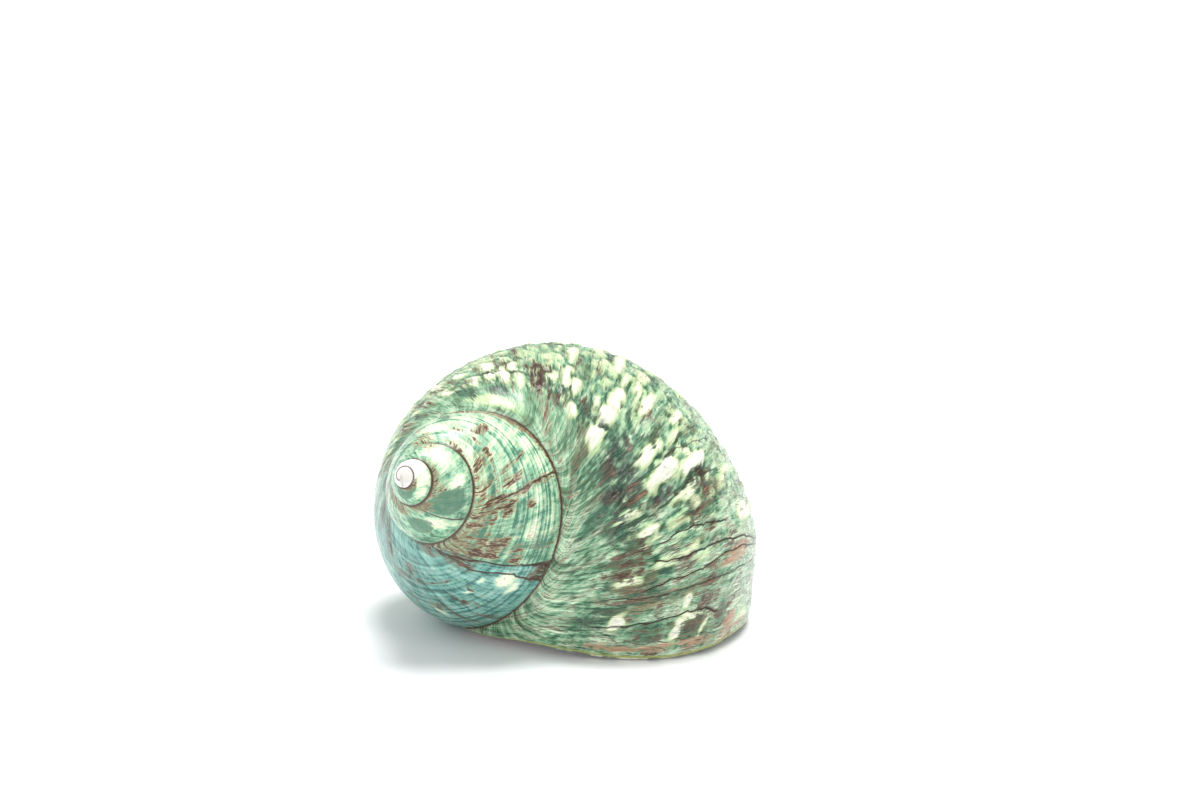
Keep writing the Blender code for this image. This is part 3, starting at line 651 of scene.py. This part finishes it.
def settle(points):
    """Turn the skin to its resting attitude and stand it where the solid stands."""
    lean = rotation((-math.sin(REST_LEAN_TOWARDS), math.cos(REST_LEAN_TOWARDS), 0), -REST_LEAN)
    points = points @ lean.T @ rotation((0, 0, 1), REST_YAW).T
    low, high = points.min(0), points.max(0)
    floor_point = np.array([0.5 * (low[0] + high[0]), 0.5 * (low[1] + high[1]), low[2]])
    node_low, node_high = (np.array(corner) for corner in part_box(SHELL_NODE))
    node_point = np.array([*(0.5 * (node_low + node_high))[:2], node_low[2]])
    return points - floor_point + node_point


class Skin:
    """Collects points with their places on the coil, and faces as rows of point numbers."""

    def __init__(self):
        self.points, self.coil, self.faces = [], [], []
        self.count = 0

    def add_points(self, points, growth, around, inside):
        """Numbers of new points; growth, around and inside are given for each of them."""
        first = self.count
        self.points.append(points.reshape(-1, 3))
        coil = np.stack(np.broadcast_arrays(growth, around, inside), -1)
        self.coil.append(np.broadcast_to(coil, points.shape).reshape(-1, 3))
        self.count += points.size // 3
        return first + np.arange(points.size // 3).reshape(points.shape[:-1])

    def add_grid(self, points, growth, around, inside, closed=False):
        """Quads over a grid of new points."""
        index = self.add_points(points, growth, around, inside)
        around_ring = np.concatenate([index, index[:, :1]], 1) if closed else index
        low, high = around_ring[:-1], around_ring[1:]
        quads = np.stack([low[:, :-1], high[:, :-1], high[:, 1:], low[:, 1:]], -1)
        self.faces.append(quads.reshape(-1, 4))
        return index

    def add_fan(self, ring, centre, coil):
        """Triangles from a row of points to one new point at a coil place."""
        hub = self.add_points(np.asarray(centre, float).reshape(1, 3), *coil)[0]
        self.faces.append(np.stack([ring[:-1], ring[1:], np.full(len(ring) - 1, hub)], -1))


def join_coarse(skin, coarse, fine):
    """Many-sided faces between the last coarse column and the first fine one."""
    for low in range(len(coarse) - 1):
        steps = np.arange(COARSE_STEP * (low + 1), COARSE_STEP * low - 1, -1)
        skin.faces.append(np.concatenate([coarse[[low, low + 1]], fine[steps]])[None, :])


def build_skin():
    """Join nucleus, spire, last whorl, lip and cavity into one closed mesh."""
    skin = Skin()
    shares = row_shares()
    spire_rings = {}
    for turns_back in range(WHORL_TURNS - 1, 1, -1):
        points, growth, around = spire_whorl(turns_back, shares[::COARSE_STEP])
        if turns_back == WHORL_TURNS - 1:
            smallest = points
        if turns_back == 2:
            points, growth, around = points[:-1], growth[:-1], around[:-1]
        spire_rings[turns_back] = skin.add_grid(points, growth, around, 0)
    fine = skin.add_grid(*spire_whorl(1, shares), 0)
    join_coarse(skin, spire_rings[2][-1], fine[0])
    outside, growth, around, angle, rows = last_whorl()
    skin.add_grid(outside, growth, around, 0)
    rings, pole, growth, direction, inside = lumen(rows, angle, outside)
    cavity = skin.add_grid(rings, growth, direction, inside[:, None], closed=True)
    skin.add_fan(np.append(cavity[-1], cavity[-1][0]), pole, (growth[-1, 0], 0, 1))
    scale = whorl_scale(-WHORL_TURNS * TURN)
    nucleus_top = (0, 0, -NUCLEUS_HEIGHT * SECTION_RADIUS * scale)
    nucleus = (-WHORL_TURNS * TURN, radians(70), 0)
    rim = skin.add_points(np.concatenate([smallest[:, -1], smallest[0, 1:]]), *nucleus)
    skin.add_fan(rim, nucleus_top, nucleus)
    return skin


def paint(growth, around):
    """Guides for the colours at growth and section angles in degrees.

    Returns (cream, brown, deep) and (blue, worn, pink), each from 0 to about 1.
    """
    moved = ragged(growth, around, 21, 0.8)
    dome, own = cobbles(growth, around, 31)
    rough = sculptured(growth, around)
    early = rise(growth, REST_OVER, -6)
    cream = np.clip(1.2 * patches(*moved, LUMPS, 1.2, 1.15), 0, 1.05)
    cream = np.maximum(cream, patches(*moved, PALE_PATCHES))
    cream = np.maximum(cream, hidden_knobs(growth, around))
    band = rise(around, 70, -6) * (1 - 0.7 * bell(around, KNOB_GROOVE_AT, 1.6))
    greener = 1 - 0.8 * rise(growth, -84, 8) * rise(around, 46, 10)
    fading = 1 - 0.4 * rise(growth, -55, 25)
    region = 0.7 + 0.3 * wander(growth / 13, around / 15, 41)
    uneven = rise(growth, -105, 20)
    bright = (0.35 + 0.65 * own) * (1 - uneven) + (0.15 + 0.8 * own * own) * uneven
    cobbled = dome * bright * rough * band * greener * fading * region
    cream = np.maximum(cream, cobbled)
    cream = np.maximum(cream, early * 0.5 * bell(growth, -485, 70))
    brown = patches(*moved, BROWN_BLOTCHES, 1, 1.45) * (1 - 0.35 * rise(growth, -104, 14))
    deep = patches(*moved, DEEP_BLOTCHES, 1, 1.25)
    band_top = np.interp(growth, (-480, -460, -440, -430, -420, -400, -380),
                         (25, 15, 7, 1, -4, -7, -10)) + 3 * wander(growth / 2.2, 0.5, 43)
    lower_band = rise(around, band_top + 4, -7) * rise(growth, -372, -12)
    lower_band = lower_band * rise(growth, -560, 80)
    between_rest_lines = rise(growth, -357, 2) * rise(growth, -343, -2)
    lower_rest = between_rest_lines * rise(around, 13 + 4 * wander(growth / 1.5, 0.5, 44), -9)
    upper_rest = between_rest_lines * rise(around, 50, 12) * 0.7
    spiral_line = bell(around, 55.5 - 0.09 * (growth + 328), 1) * rise(growth, -332, 6)
    spiral_line = spiral_line * rise(growth, -262, -8) * 0.9
    brown = np.maximum.reduce([brown, 0.9 * lower_band, lower_rest, upper_rest, spiral_line])
    blue = rise(growth, -358, 4) * rise(growth, -205, -60)
    worn = smooth_step((-1120 - growth + 0.6 * (around - 40)) / 80)
    lip_band = bell(growth, -3.4, 1.7) * rise(around, 66, -10)
    low_patch = patches(growth, around, ((-4, -6, 4.5, 7, 1), (-24, -2, 2.6, 13, 1)))
    right_patch = patches(growth, around, ((-21, 30, 2.5, 9, 0.4), (-45, 4, 30, 6, 0.12)))
    pink = np.maximum.reduce([lip_band * 0.9, low_patch, right_patch, 0.4 * lower_band])
    return np.stack([cream, brown, deep], -1), np.stack([blue, worn, pink], -1)


def striae_flow(growth, around):
    """Growth angle that the fine striae follow: it trails by FLOW_AT_SUTURE at the suture."""
    below = np.maximum(degrees(SUTURE_NEW) - around, 0)
    return growth + FLOW_AT_SUTURE * np.exp(-below / FLOW_WIDTH)


def add_attribute(mesh, name, values):
    """Store up to three numbers for each face corner, with zeros for those not given."""
    layer = mesh.attributes.new(name, "FLOAT_VECTOR", "CORNER")
    vectors = np.zeros((len(values), 3), np.float32)
    vectors[:, :values.shape[1]] = values
    layer.data.foreach_set("vector", vectors.ravel())


def hollows(growth, around):
    """Millimetres by which the relief lies under its mean a little way off on all sides; the colours
    darken by it as painted shade in the hollows.
    """
    step_growth, step_around = radians(1.3), radians(2.2)
    mean = relief(growth + step_growth, around) + relief(growth - step_growth, around)
    mean = mean + relief(growth, around + step_around) + relief(growth, around - step_around)
    return (0.25 * mean - relief(growth, around)) / MILLIMETRE


def add_object(name, data):
    """New object in the scene."""
    thing = bpy.data.objects.new(name, data)
    bpy.context.scene.collection.objects.link(thing)
    return thing


def make_shell():
    """The closed skin as one object with its coil attributes."""
    skin = build_skin()
    points = settle(np.concatenate(skin.points))
    mesh = bpy.data.meshes.new("shell_skin")
    mesh.from_pydata(points.tolist(), [], [face for faces in skin.faces for face in faces.tolist()])
    coil = np.concatenate(skin.coil)
    corner = np.concatenate([faces.ravel() for faces in skin.faces])
    growth, around = np.degrees(coil[:, 0]), np.degrees(coil[:, 1])
    tint, mood = paint(growth, around)
    lines = np.stack([*line_distance(growth, around), striae_flow(growth, around)], -1)
    # form carries the hollow depth, used as painted shade in the hollows, and the share of sculpture
    form = np.stack([hollows(coil[:, 0], coil[:, 1]), sculptured(growth, around)], -1)
    for name, values in (("coil", np.stack([growth, around, coil[:, 2]], -1)), ("tint", tint),
                         ("mood", mood), ("lines", lines), ("form", form)):
        add_attribute(mesh, name, values[corner])
    bm = bmesh.new()
    bm.from_mesh(mesh)
    bmesh.ops.remove_doubles(bm, verts=bm.verts, dist=JOIN_DISTANCE)
    bmesh.ops.dissolve_degenerate(bm, dist=JOIN_DISTANCE, edges=bm.edges)
    bmesh.ops.recalc_face_normals(bm, faces=bm.faces)
    bm.to_mesh(mesh)
    bm.free()
    mesh.shade_smooth()
    return add_object("shell_skin", mesh)


def linear(red, green, blue):
    """Colour given in screen values from 0 to 255, as linear light."""
    values = np.array([red, green, blue]) / 255
    light = np.where(values > 0.04045, ((values + 0.055) / 1.055) ** 2.4, values / 12.92)
    return (*(float(v) for v in light), 1)


class Wiring:
    """Short names for the nodes that a material here is made of."""

    def __init__(self, material):
        material.use_nodes = True
        self.tree = material.node_tree
        self.surface = self.tree.nodes["Principled BSDF"]

    def set(self, socket, value):
        """Link a socket or set its own value."""
        if isinstance(value, bpy.types.NodeSocket):
            self.tree.links.new(value, socket)
        else:
            socket.default_value = value

    def node(self, kind, inputs=(), **settings):
        """New node with its settings, and its inputs linked or set by name or number."""
        node = self.tree.nodes.new("ShaderNode" + kind)
        for name, setting in settings.items():
            setattr(node, name, setting)
        for key, value in dict(inputs).items():
            self.set(node.inputs[key], value)
        return node

    def math(self, operation, *values, clamp=False):
        """One arithmetic step on sockets or numbers."""
        return self.node("Math", enumerate(values), operation=operation, use_clamp=clamp).outputs[0]

    def weigh(self, *pairs):
        """Sum of value times weight."""
        total = 0
        for value, weight in pairs:
            total = self.math("MULTIPLY_ADD", value, weight, total)
        return total

    def product(self, *values):
        """All values multiplied in turn."""
        return functools.reduce(lambda first, second: self.math("MULTIPLY", first, second), values)

    def highest(self, *values):
        """The highest of all values."""
        return functools.reduce(lambda first, second: self.math("MAXIMUM", first, second), values)

    def step(self, value, low, high, to_low=0, to_high=1):
        """Smooth step of a value from low to high."""
        inputs = {"Value": value, "From Min": low, "From Max": high, "To Min": to_low, "To Max": to_high}
        return self.node("MapRange", inputs, interpolation_type="SMOOTHSTEP").outputs["Result"]

    def zone(self, *limits):
        """Smooth steps multiplied: each limit is (value, low, high)."""
        return self.product(*(self.step(*limit) for limit in limits))

    def band(self, value, centre, half_width):
        """1 at the centre, fading smoothly to 0 at the half width on both sides."""
        offset = self.math("ABSOLUTE", self.math("SUBTRACT", value, centre))
        return self.step(offset, 0, half_width, 1, 0)

    def mix(self, share, first, second):
        """Colour between first and second."""
        return self.node("Mix", {0: share, 6: first, 7: second}, data_type="RGBA").outputs[2]

    def layer(self, colour, value, *stops):
        """Colour covered step by step: each stop is (low, high, strength, cover)."""
        for low, high, strength, cover in stops:
            colour = self.mix(self.step(value, low, high, 0, strength), colour, cover)
        return colour

    def centred(self, value, gain=1):
        """Noise from 0 to 1 moved to run evenly on both sides of zero, times a gain."""
        return self.math("MULTIPLY", self.math("SUBTRACT", value, 0.5), gain)

    def nodules(self, vector, scale, smoothness):
        """Smooth distance to the nearest of many scattered points."""
        inputs = {"Vector": vector, "Scale": scale, "Smoothness": smoothness}
        return self.node("TexVoronoi", inputs, feature="SMOOTH_F1").outputs["Distance"]

    def stretch(self, across, along, across_scale, along_scale, seed):
        """Vector of scaled growth and section angles, moved by a seed."""
        parts = (self.product(across, across_scale), self.product(along, along_scale), seed)
        return self.node("CombineXYZ", enumerate(parts)).outputs[0]

    def noise(self, vector, scale=1, detail=4, roughness=0.55, distortion=0):
        """Fractal noise from 0 to 1."""
        inputs = {"Vector": vector, "Scale": scale, "Detail": detail, "Roughness": roughness}
        return self.node("TexNoise", {**inputs, "Distortion": distortion}).outputs["Fac"]

    def field(self, across, along, across_scale, along_scale, seed, gain, detail=2, roughness=0.55):
        """Drawn-out noise round zero, times a gain."""
        vector = self.stretch(across, along, across_scale, along_scale, seed)
        return self.centred(self.noise(vector, 1, detail, roughness), gain)

    def vein(self, across, along, across_scale, along_scale, seed, width):
        """Thin wandering lines: 1 where a drawn-out noise crosses its middle, 0 beyond a width."""
        field = self.noise(self.stretch(across, along, across_scale, along_scale, seed), 1, 3, 0.65, 0.3)
        return self.step(self.math("ABSOLUTE", self.centred(field)), 0, width, 1, 0)

    def attribute(self, name):
        """The three numbers of a corner attribute."""
        vector = self.node("Attribute", attribute_name=name).outputs["Vector"]
        return tuple(self.node("SeparateXYZ", {0: vector}).outputs)

    def object_place(self):
        """The point in the object's own coordinates."""
        return self.node("TexCoord").outputs["Object"]

    def bump(self, height, distance):
        """Normal tilted by a height, in units of a distance in metres."""
        inputs = {"Height": height, "Distance": distance, "Strength": 1}
        return self.node("Bump", inputs).outputs["Normal"]


BLACK_GREEN = linear(16, 26, 16)
DEEP_GREEN = linear(42, 90, 64)
MOSS_GREEN = linear(92, 144, 108)
SOFT_GREEN = linear(148, 192, 154)
PALE_GREEN = linear(206, 230, 196)
OLIVE = linear(118, 110, 70)
YELLOW_GREEN = linear(194, 220, 164)
CREAM = linear(234, 243, 204)
COOL_CREAM = linear(242, 250, 212)
COOL_GREEN = linear(200, 228, 170)
CREAM_WHITE = linear(250, 252, 234)
SEA_GREEN = linear(66, 118, 92)
MINT = linear(132, 184, 150)
PALE_MINT = linear(190, 222, 184)
BLUE_TEAL = linear(122, 187, 173)
DEEP_TEAL = linear(58, 112, 104)
LIGHT_TEAL = linear(166, 212, 198)
STRIPE_GREEN = linear(66, 124, 104)
PALE_BLUE = linear(216, 236, 220)
TAN = linear(190, 156, 112)
UMBER = linear(132, 114, 84)
DARK_UMBER = linear(80, 60, 42)
SCUFF_WHITE = linear(222, 232, 222)
BROWN = linear(88, 54, 34)
LINE_BROWN = linear(62, 36, 24)
PINK_TAN = linear(190, 144, 112)
WORN_WHITE = linear(255, 252, 246)
LIP_YELLOW = linear(176, 180, 96)
NACRE = linear(226, 222, 214)
NACRE_PINK = linear(232, 208, 210)
NACRE_GREEN = linear(206, 224, 208)
FLOOR_SHADE = linear(240, 241, 243)
FLOOR_WHITE = linear(244, 245, 246)

# Polish
LEAST_ROUGHNESS = 0.22
COAT = 0.25
COAT_ROUGHNESS = 0.12
SHELL_IOR = 1.47
BUMP_HEIGHT = 0.00045

# Spiral stripes: section angle, half width, strength
STRIPES = (
    (71, 5, 0.7), (58, 1.8, 0.4), (46, 2.6, 0.9), (39.5, 1.4, 0.4), (36, 2.2, 0.8),
    (29.5, 1.4, 0.4), (24, 1.8, 0.5), (19, 2.2, 0.8), (14, 1.4, 0.4), (10, 2.4, 1), (3, 1.8, 0.6),
)


def outside_fields(w, growth, around, flow):
    """Noise fields of the outside, most of them drawn out along the growth lines."""
    bend = w.field(growth, around, 0.1, 0.11, 1, 2.4)
    bend = w.product(bend, w.step(around, 60, 74, 1, 0.4))
    line = w.product(w.math("ADD", bend, flow), w.step(growth, -354, -357, 1, 0.55))
    streak = w.field(line, around, 0.55, 0.04, 2, 1.9, 3, 0.6)
    patch = w.field(growth, around, 0.13, 0.1, 3, 1.7, 4, 0.6)
    fine = w.field(line, around, 2.2, 0.16, 4, 1.6, 2, 0.6)
    broad = w.field(line, around, 0.18, 0.03, 8, 1.9)
    hair = w.vein(line, around, 0.5, 0.03, 6, 0.06)
    hair = w.math("MAXIMUM", hair, w.vein(line, around, 0.95, 0.06, 12, 0.06))
    return streak, patch, fine, hair, broad


def stripe_field(w, growth, around, fine):
    """Darkness of the spiral stripes, with many faint ones between them."""
    frayed = w.math("MULTIPLY_ADD", fine, 0.5, around)
    stripes = 0
    for centre, half_width, strength in STRIPES:
        stripe = w.math("MULTIPLY", w.band(frayed, centre, half_width), strength)
        stripes = w.math("MAXIMUM", stripe, stripes)
    faint = w.field(growth, frayed, 0.008, 0.45, 9, 2.4)
    return w.math("ADD", stripes, faint)


def outside_colour(w, coil, tint, mood, lines, form):
    """Colour of the polished outside, and the height of its finest relief."""
    growth, around, _ = coil
    cream_guide, brown_guide, deep_guide = tint
    blue, worn, pink = mood
    distance, nearness, flow = lines
    # hollow depth as painted shade: the hollows get a darker ground, less cream, deeper green and more
    # brown
    hollow_shade, rough, _ = form
    streak, patch, fine, hair, broad = outside_fields(w, growth, around, flow)
    early = w.step(growth, REST_OVER, -358)
    late = w.math("SUBTRACT", 1, early)
    # spiral stripes on the older whorls and the blue-green start of the last one
    striped = w.zone((growth, -690, -600), (growth, -235, -290))
    broken = w.step(patch, -0.3, 0.35, 1.1, 0.6)
    stripes = w.product(stripe_field(w, growth, around, fine), striped, broken)
    # ground colour, darkened in the hollows as painted shade
    mottle = w.field(growth, around, 0.42, 0.3, 10, 1.7, 4, 0.6)
    calm = w.step(around, 60, 74, 1, 0.7)
    even = w.zone((growth, -90, -65), (around, 50, 30))
    lift = w.weigh((even, 0.09), (w.step(growth, -85, -115), 0.12), (w.step(around, 14, -4), 0.1),
                   (w.step(growth, -80, -60), 0.05))
    lengthwise = w.weigh((streak, 0.9), (w.product(streak, even), -0.35), (fine, 0.6), (broad, 0.6))
    ground = w.weigh((w.product(lengthwise, calm), 1), (patch, 0.8), (mottle, 0.6), (hollow_shade, -1.2),
                     (lift, 1))
    ground = w.product(ground, w.step(growth, -110, -75, 1, 1.5), w.step(around, 48, 58, 1, 1.3))
    colour = w.layer(DEEP_GREEN, ground, (-0.46, -0.14, 1, MOSS_GREEN), (-0.16, 0.14, 1, SOFT_GREEN),
                     (0.12, 0.46, 1, PALE_GREEN))
    colour = w.layer(colour, w.weigh((fine, 0.8), (patch, -0.8), (broad, -0.6)), (0.12, 0.5, 0.5, OLIVE))
    soft = w.weigh((streak, 0.75), (patch, 1.1), (fine, 0.4), (broad, 0.7), (stripes, -0.62),
                   (cream_guide, 0.85))
    early_ground = w.layer(SEA_GREEN, soft, (-0.32, 0, 1, MINT), (0.02, 0.34, 1, PALE_MINT),
                           (0.32, 0.7, 0.9, CREAM), (0.62, 0.95, 0.9, CREAM_WHITE))
    colour = w.mix(early, colour, early_ground)
    wash = w.weigh((streak, 0.8), (patch, 0.9), (fine, 0.4), (broad, 0.5), (stripes, -0.5))
    teal = w.layer(DEEP_TEAL, wash, (-0.42, -0.02, 1, BLUE_TEAL), (0, 0.3, 1, LIGHT_TEAL),
                   (0.28, 0.6, 0.9, PALE_BLUE))
    colour = w.mix(blue, colour, teal)
    stripe_colour = w.mix(blue, STRIPE_GREEN, DEEP_TEAL)
    colour = w.mix(w.math("MULTIPLY", stripes, 0.5, clamp=True), colour, stripe_colour)
    # cream over the lumps, kept out of the hollows as painted shade
    cream = w.weigh((w.product(cream_guide, late), 1.2), (patch, 0.3), (mottle, 0.22), (streak, 0.25),
                    (fine, 0.25), (hollow_shade, -1.05))
    cream = w.product(cream, late)
    cool = w.step(growth, -105, -80)
    halo = w.mix(blue, w.mix(cool, YELLOW_GREEN, COOL_GREEN), LIGHT_TEAL)
    colour = w.layer(colour, cream, (0.04, 0.5, 0.8, halo),
                     (0.32, 0.9, 0.9, w.mix(cool, CREAM, COOL_CREAM)), (0.8, 1.3, 1, CREAM_WHITE))
    # deep green blotches, and painted shade deepening the green in the hollows
    deep = w.weigh((deep_guide, 1.1), (streak, 1.1), (patch, 0.6), (fine, 0.8), (mottle, 0.9),
                   (hollow_shade, 1.1))
    deep = w.product(deep, late)
    colour = w.layer(colour, deep, (0.28, 0.62, 0.9, DEEP_GREEN), (0.62, 1, 0.9, BLACK_GREEN))
    scuffs = w.product(w.vein(growth, around, 0.7, 0.45, 13, 0.025), w.step(deep, 0.25, 0.6))
    scuffs = w.product(scuffs, w.step(fine, -0.05, 0.15), w.step(around, 50, 58), 0.5)
    colour = w.mix(scuffs, colour, SCUFF_WHITE)
    old_patch = w.product(w.weigh((deep_guide, 1.2), (streak, 0.5), (patch, 0.5)), early)
    colour = w.layer(colour, old_patch, (0.36, 0.56, 0.85, SEA_GREEN))
    # brown mottles and hair streaks, browner in the hollows as painted shade
    brown = w.weigh((brown_guide, 0.95), (streak, 1.8), (fine, 1.6), (hair, 0.25), (broad, 0.4),
                    (mottle, 0.8), (hollow_shade, 0.6), (late, -0.12))
    brown = w.product(brown, w.step(brown_guide, 0.02, 0.25))
    colour = w.layer(colour, brown, (0.04, 0.75, 0.65, w.mix(early, UMBER, TAN)),
                     (0.42, 1.05, 0.95, w.mix(early, DARK_UMBER, BROWN)), (0.72, 1.25, 0.85, LINE_BROWN))
    tanned = w.weigh((broad, -0.9), (streak, 0.5), (fine, 0.5))
    tan_share = w.weigh((w.step(growth, -75, -30), 0.1), (w.step(growth, -120, -70), 0.15))
    colour = w.mix(w.product(w.step(tanned, 0.02, 0.34), tan_share, w.step(around, 70, 40)), colour, TAN)
    near_suture = w.product(w.zone((around, 64, 76), (growth, -145, -110)), 0.8)
    near_lip = w.product(w.zone((growth, -80, -25), (around, 74, 50)), 0.75)
    where = w.highest(near_suture, near_lip, w.product(late, 0.18), w.product(blue, 0.3),
                      w.product(early, 0.35), w.product(rough, 0.35))
    hairs = w.product(hair, w.step(w.weigh((patch, 1), (fine, 0.6)), -0.15, 0.2), where)
    on_cream = w.step(cream, 0.45, 0.9, 1, 0.15)
    hairs = w.product(hairs, on_cream)
    colour = w.mix(hairs, colour, BROWN)
    colour = w.layer(colour, w.weigh((pink, 0.9), (streak, 1), (patch, 0.9), (fine, 0.9), (mottle, 0.5)),
                     (0.3, 0.9, 0.8, PINK_TAN))
    # thin wavy lines and the main growth lines
    thin = w.step(w.weigh((patch, 1), (fine, 0.5)), -0.12, 0.12)
    thin = w.product(thin, w.vein(growth, around, 0.3, 0.035, 5, 0.035), on_cream)
    lined = w.weigh((w.step(growth, -120, -15), 0.7), (w.step(patch, 0, 0.2), 0.2))
    colour = w.mix(w.math("MULTIPLY", thin, lined, clamp=True), colour, LINE_BROWN)
    line = w.product(w.step(w.math("ABSOLUTE", distance), 0.3, 1.15, 1, 0), nearness)
    line = w.product(line, w.step(fine, -0.3, 0.05, 0.55, 1))
    colour = w.mix(w.math("MULTIPLY", line, 1.3, clamp=True), colour, LINE_BROWN)
    # worn nucleus
    colour = w.layer(colour, w.weigh((worn, 1), (patch, 0.5), (fine, 0.3)), (0.3, 0.7, 0.95, WORN_WHITE))
    # dark thread along the suture, equally wide on every whorl
    size = w.math("POWER", GROWTH, w.math("MULTIPLY", growth, 1 / 360))
    below = w.product(w.math("SUBTRACT", degrees(SUTURE_NEW), around), size)
    above = w.product(w.math("SUBTRACT", around, degrees(SUTURE_OLD)), size)
    above = w.math("ADD", above, w.product(late, 400))
    away = w.math("MULTIPLY_ADD", fine, 0.7, w.math("MINIMUM", below, above))
    colour = w.mix(w.step(away, 0.9, 0.3, 0, 0.8), colour, BROWN)
    colour = w.mix(w.step(away, 0.55, 0.15, 0, 0.9), colour, LINE_BROWN)
    # yellow edge of the lip
    lip = w.zone((growth, -1.1, -0.2), (growth, 40, 20))
    colour = w.mix(lip, colour, LIP_YELLOW)
    knots = w.nodules(w.stretch(growth, around, 0.55, 0.3, 7), 1, 0.6)
    smooth = w.step(around, 60, 74, 1, 0.4)
    height = w.weigh((w.product(fine, smooth), 0.5), (w.product(streak, smooth), 0.5),
                     (w.product(hair, smooth), -0.25), (w.product(thin, rough), -0.3), (line, -0.8),
                     (w.product(knots, rough), -0.7))
    return colour, w.product(height, size, w.step(growth, -358, -300, 0.35, 1)), fine


def shell_material():
    """Polished shell: green and cream outside, brown growth lines, pearly inside."""
    material = bpy.data.materials.new("polished_shell")
    w = Wiring(material)
    coil, tint, mood = w.attribute("coil"), w.attribute("tint"), w.attribute("mood")
    lines, form = w.attribute("lines"), w.attribute("form")
    colour, height, fine = outside_colour(w, coil, tint, mood, lines, form)
    _, around, inside = coil
    clouds = w.noise(w.object_place(), scale=55, detail=3)
    pearl = w.mix(w.step(clouds, 0.35, 0.65), NACRE_PINK, NACRE_GREEN)
    pearl = w.mix(0.45, pearl, NACRE)
    base = w.math("MAXIMUM", w.step(around, -104, -124), w.step(around, 100, 108))
    colour = w.mix(w.math("MAXIMUM", inside, base), colour, pearl)
    w.set(w.surface.inputs["Base Color"], colour)
    grain = w.noise(w.object_place(), scale=900, detail=2)
    gloss = w.weigh((fine, 0.2), (grain, 0.12), (tint[1], 0.12))
    w.set(w.surface.inputs["Roughness"], w.math("ADD", gloss, LEAST_ROUGHNESS))
    w.surface.inputs["Coat Weight"].default_value = COAT
    w.surface.inputs["Coat Roughness"].default_value = COAT_ROUGHNESS
    w.surface.inputs["IOR"].default_value = SHELL_IOR
    height = w.product(height, w.step(inside, 0.5, 0))
    w.set(w.surface.inputs["Normal"], w.bump(height, BUMP_HEIGHT))
    return material


def floor_material():
    """Plain pale floor."""
    material = bpy.data.materials.new("pale_floor")
    w = Wiring(material)
    soft = w.noise(w.object_place(), scale=3, detail=2)
    w.set(w.surface.inputs["Base Color"], w.mix(soft, FLOOR_SHADE, FLOOR_WHITE))
    w.surface.inputs["Roughness"].default_value = 0.6
    w.surface.inputs["Specular IOR Level"].default_value = 0.2
    return material


def make_floor():
    """Wide round sheet under the shell."""
    bm = bmesh.new()
    bmesh.ops.create_circle(bm, cap_ends=True, segments=96, radius=FLOOR_RADIUS)
    mesh = bpy.data.meshes.new("floor")
    bm.to_mesh(mesh)
    bm.free()
    mesh.materials.append(floor_material())
    floor = add_object("floor", mesh)


def add_softbox(name, at, size, power):
    """Square area light at a place, facing the shell; it shows only as gloss."""
    data = bpy.data.lights.new(name, "AREA")
    data.shape = "RECTANGLE"
    data.size, data.size_y = size
    data.energy = power
    light = add_object(name, data)
    light.visible_diffuse = False
    direction = np.array(SOFTBOX_TARGET) - np.array(at)
    forward = direction / np.linalg.norm(direction)
    side = np.cross(forward, (0, 0, 1))
    side = side / np.linalg.norm(side)
    top = np.cross(side, forward)
    turn = Matrix((side, top, -forward)).transposed().to_4x4()
    light.matrix_world = Matrix.Translation(at) @ turn


def make_lights():
    """White surroundings, a broad even light from above and soft boxes for the gloss."""
    world = bpy.data.worlds.new("studio")
    bpy.context.scene.world = world
    world.use_nodes = True
    nodes, links = world.node_tree.nodes, world.node_tree.links
    background = nodes["Background"]
    background.inputs[0].default_value = (1, 1, 1, 1)
    sight = nodes.new("ShaderNodeLightPath")
    level = nodes.new("ShaderNodeMapRange")
    level.inputs["To Min"].default_value, level.inputs["To Max"].default_value = SURROUNDINGS
    links.new(sight.outputs["Is Camera Ray"], level.inputs["Value"])
    links.new(level.outputs["Result"], background.inputs[1])
    for name, power, spread, turn in SUNS:
        sun = bpy.data.lights.new(name, "SUN")
        sun.energy = power
        sun.angle = radians(spread)
        lamp = add_object(name, sun)
        lamp.rotation_euler = Euler([radians(angle) for angle in turn], "XYZ")
        lamp.visible_glossy = False
    for softbox in SOFTBOXES:
        add_softbox(*softbox)


def make_camera():
    """The photograph's camera."""
    data = bpy.data.cameras.new("camera")
    data.lens = CAMERA_LENS
    data.sensor_width = CAMERA_SENSOR
    data.clip_start = CAMERA_NEAR
    camera = add_object("camera", data)
    camera.location = CAMERA_AT
    camera.rotation_euler = Euler([radians(angle) for angle in CAMERA_TURN], "XYZ")
    bpy.context.scene.camera = camera


make_camera()
shell = make_shell()
shell.data.materials.append(shell_material())
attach(shell, "root")
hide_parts(SHELL_NODE)
make_floor()
make_lights()
bpy.context.scene.view_settings.view_transform = "Standard"
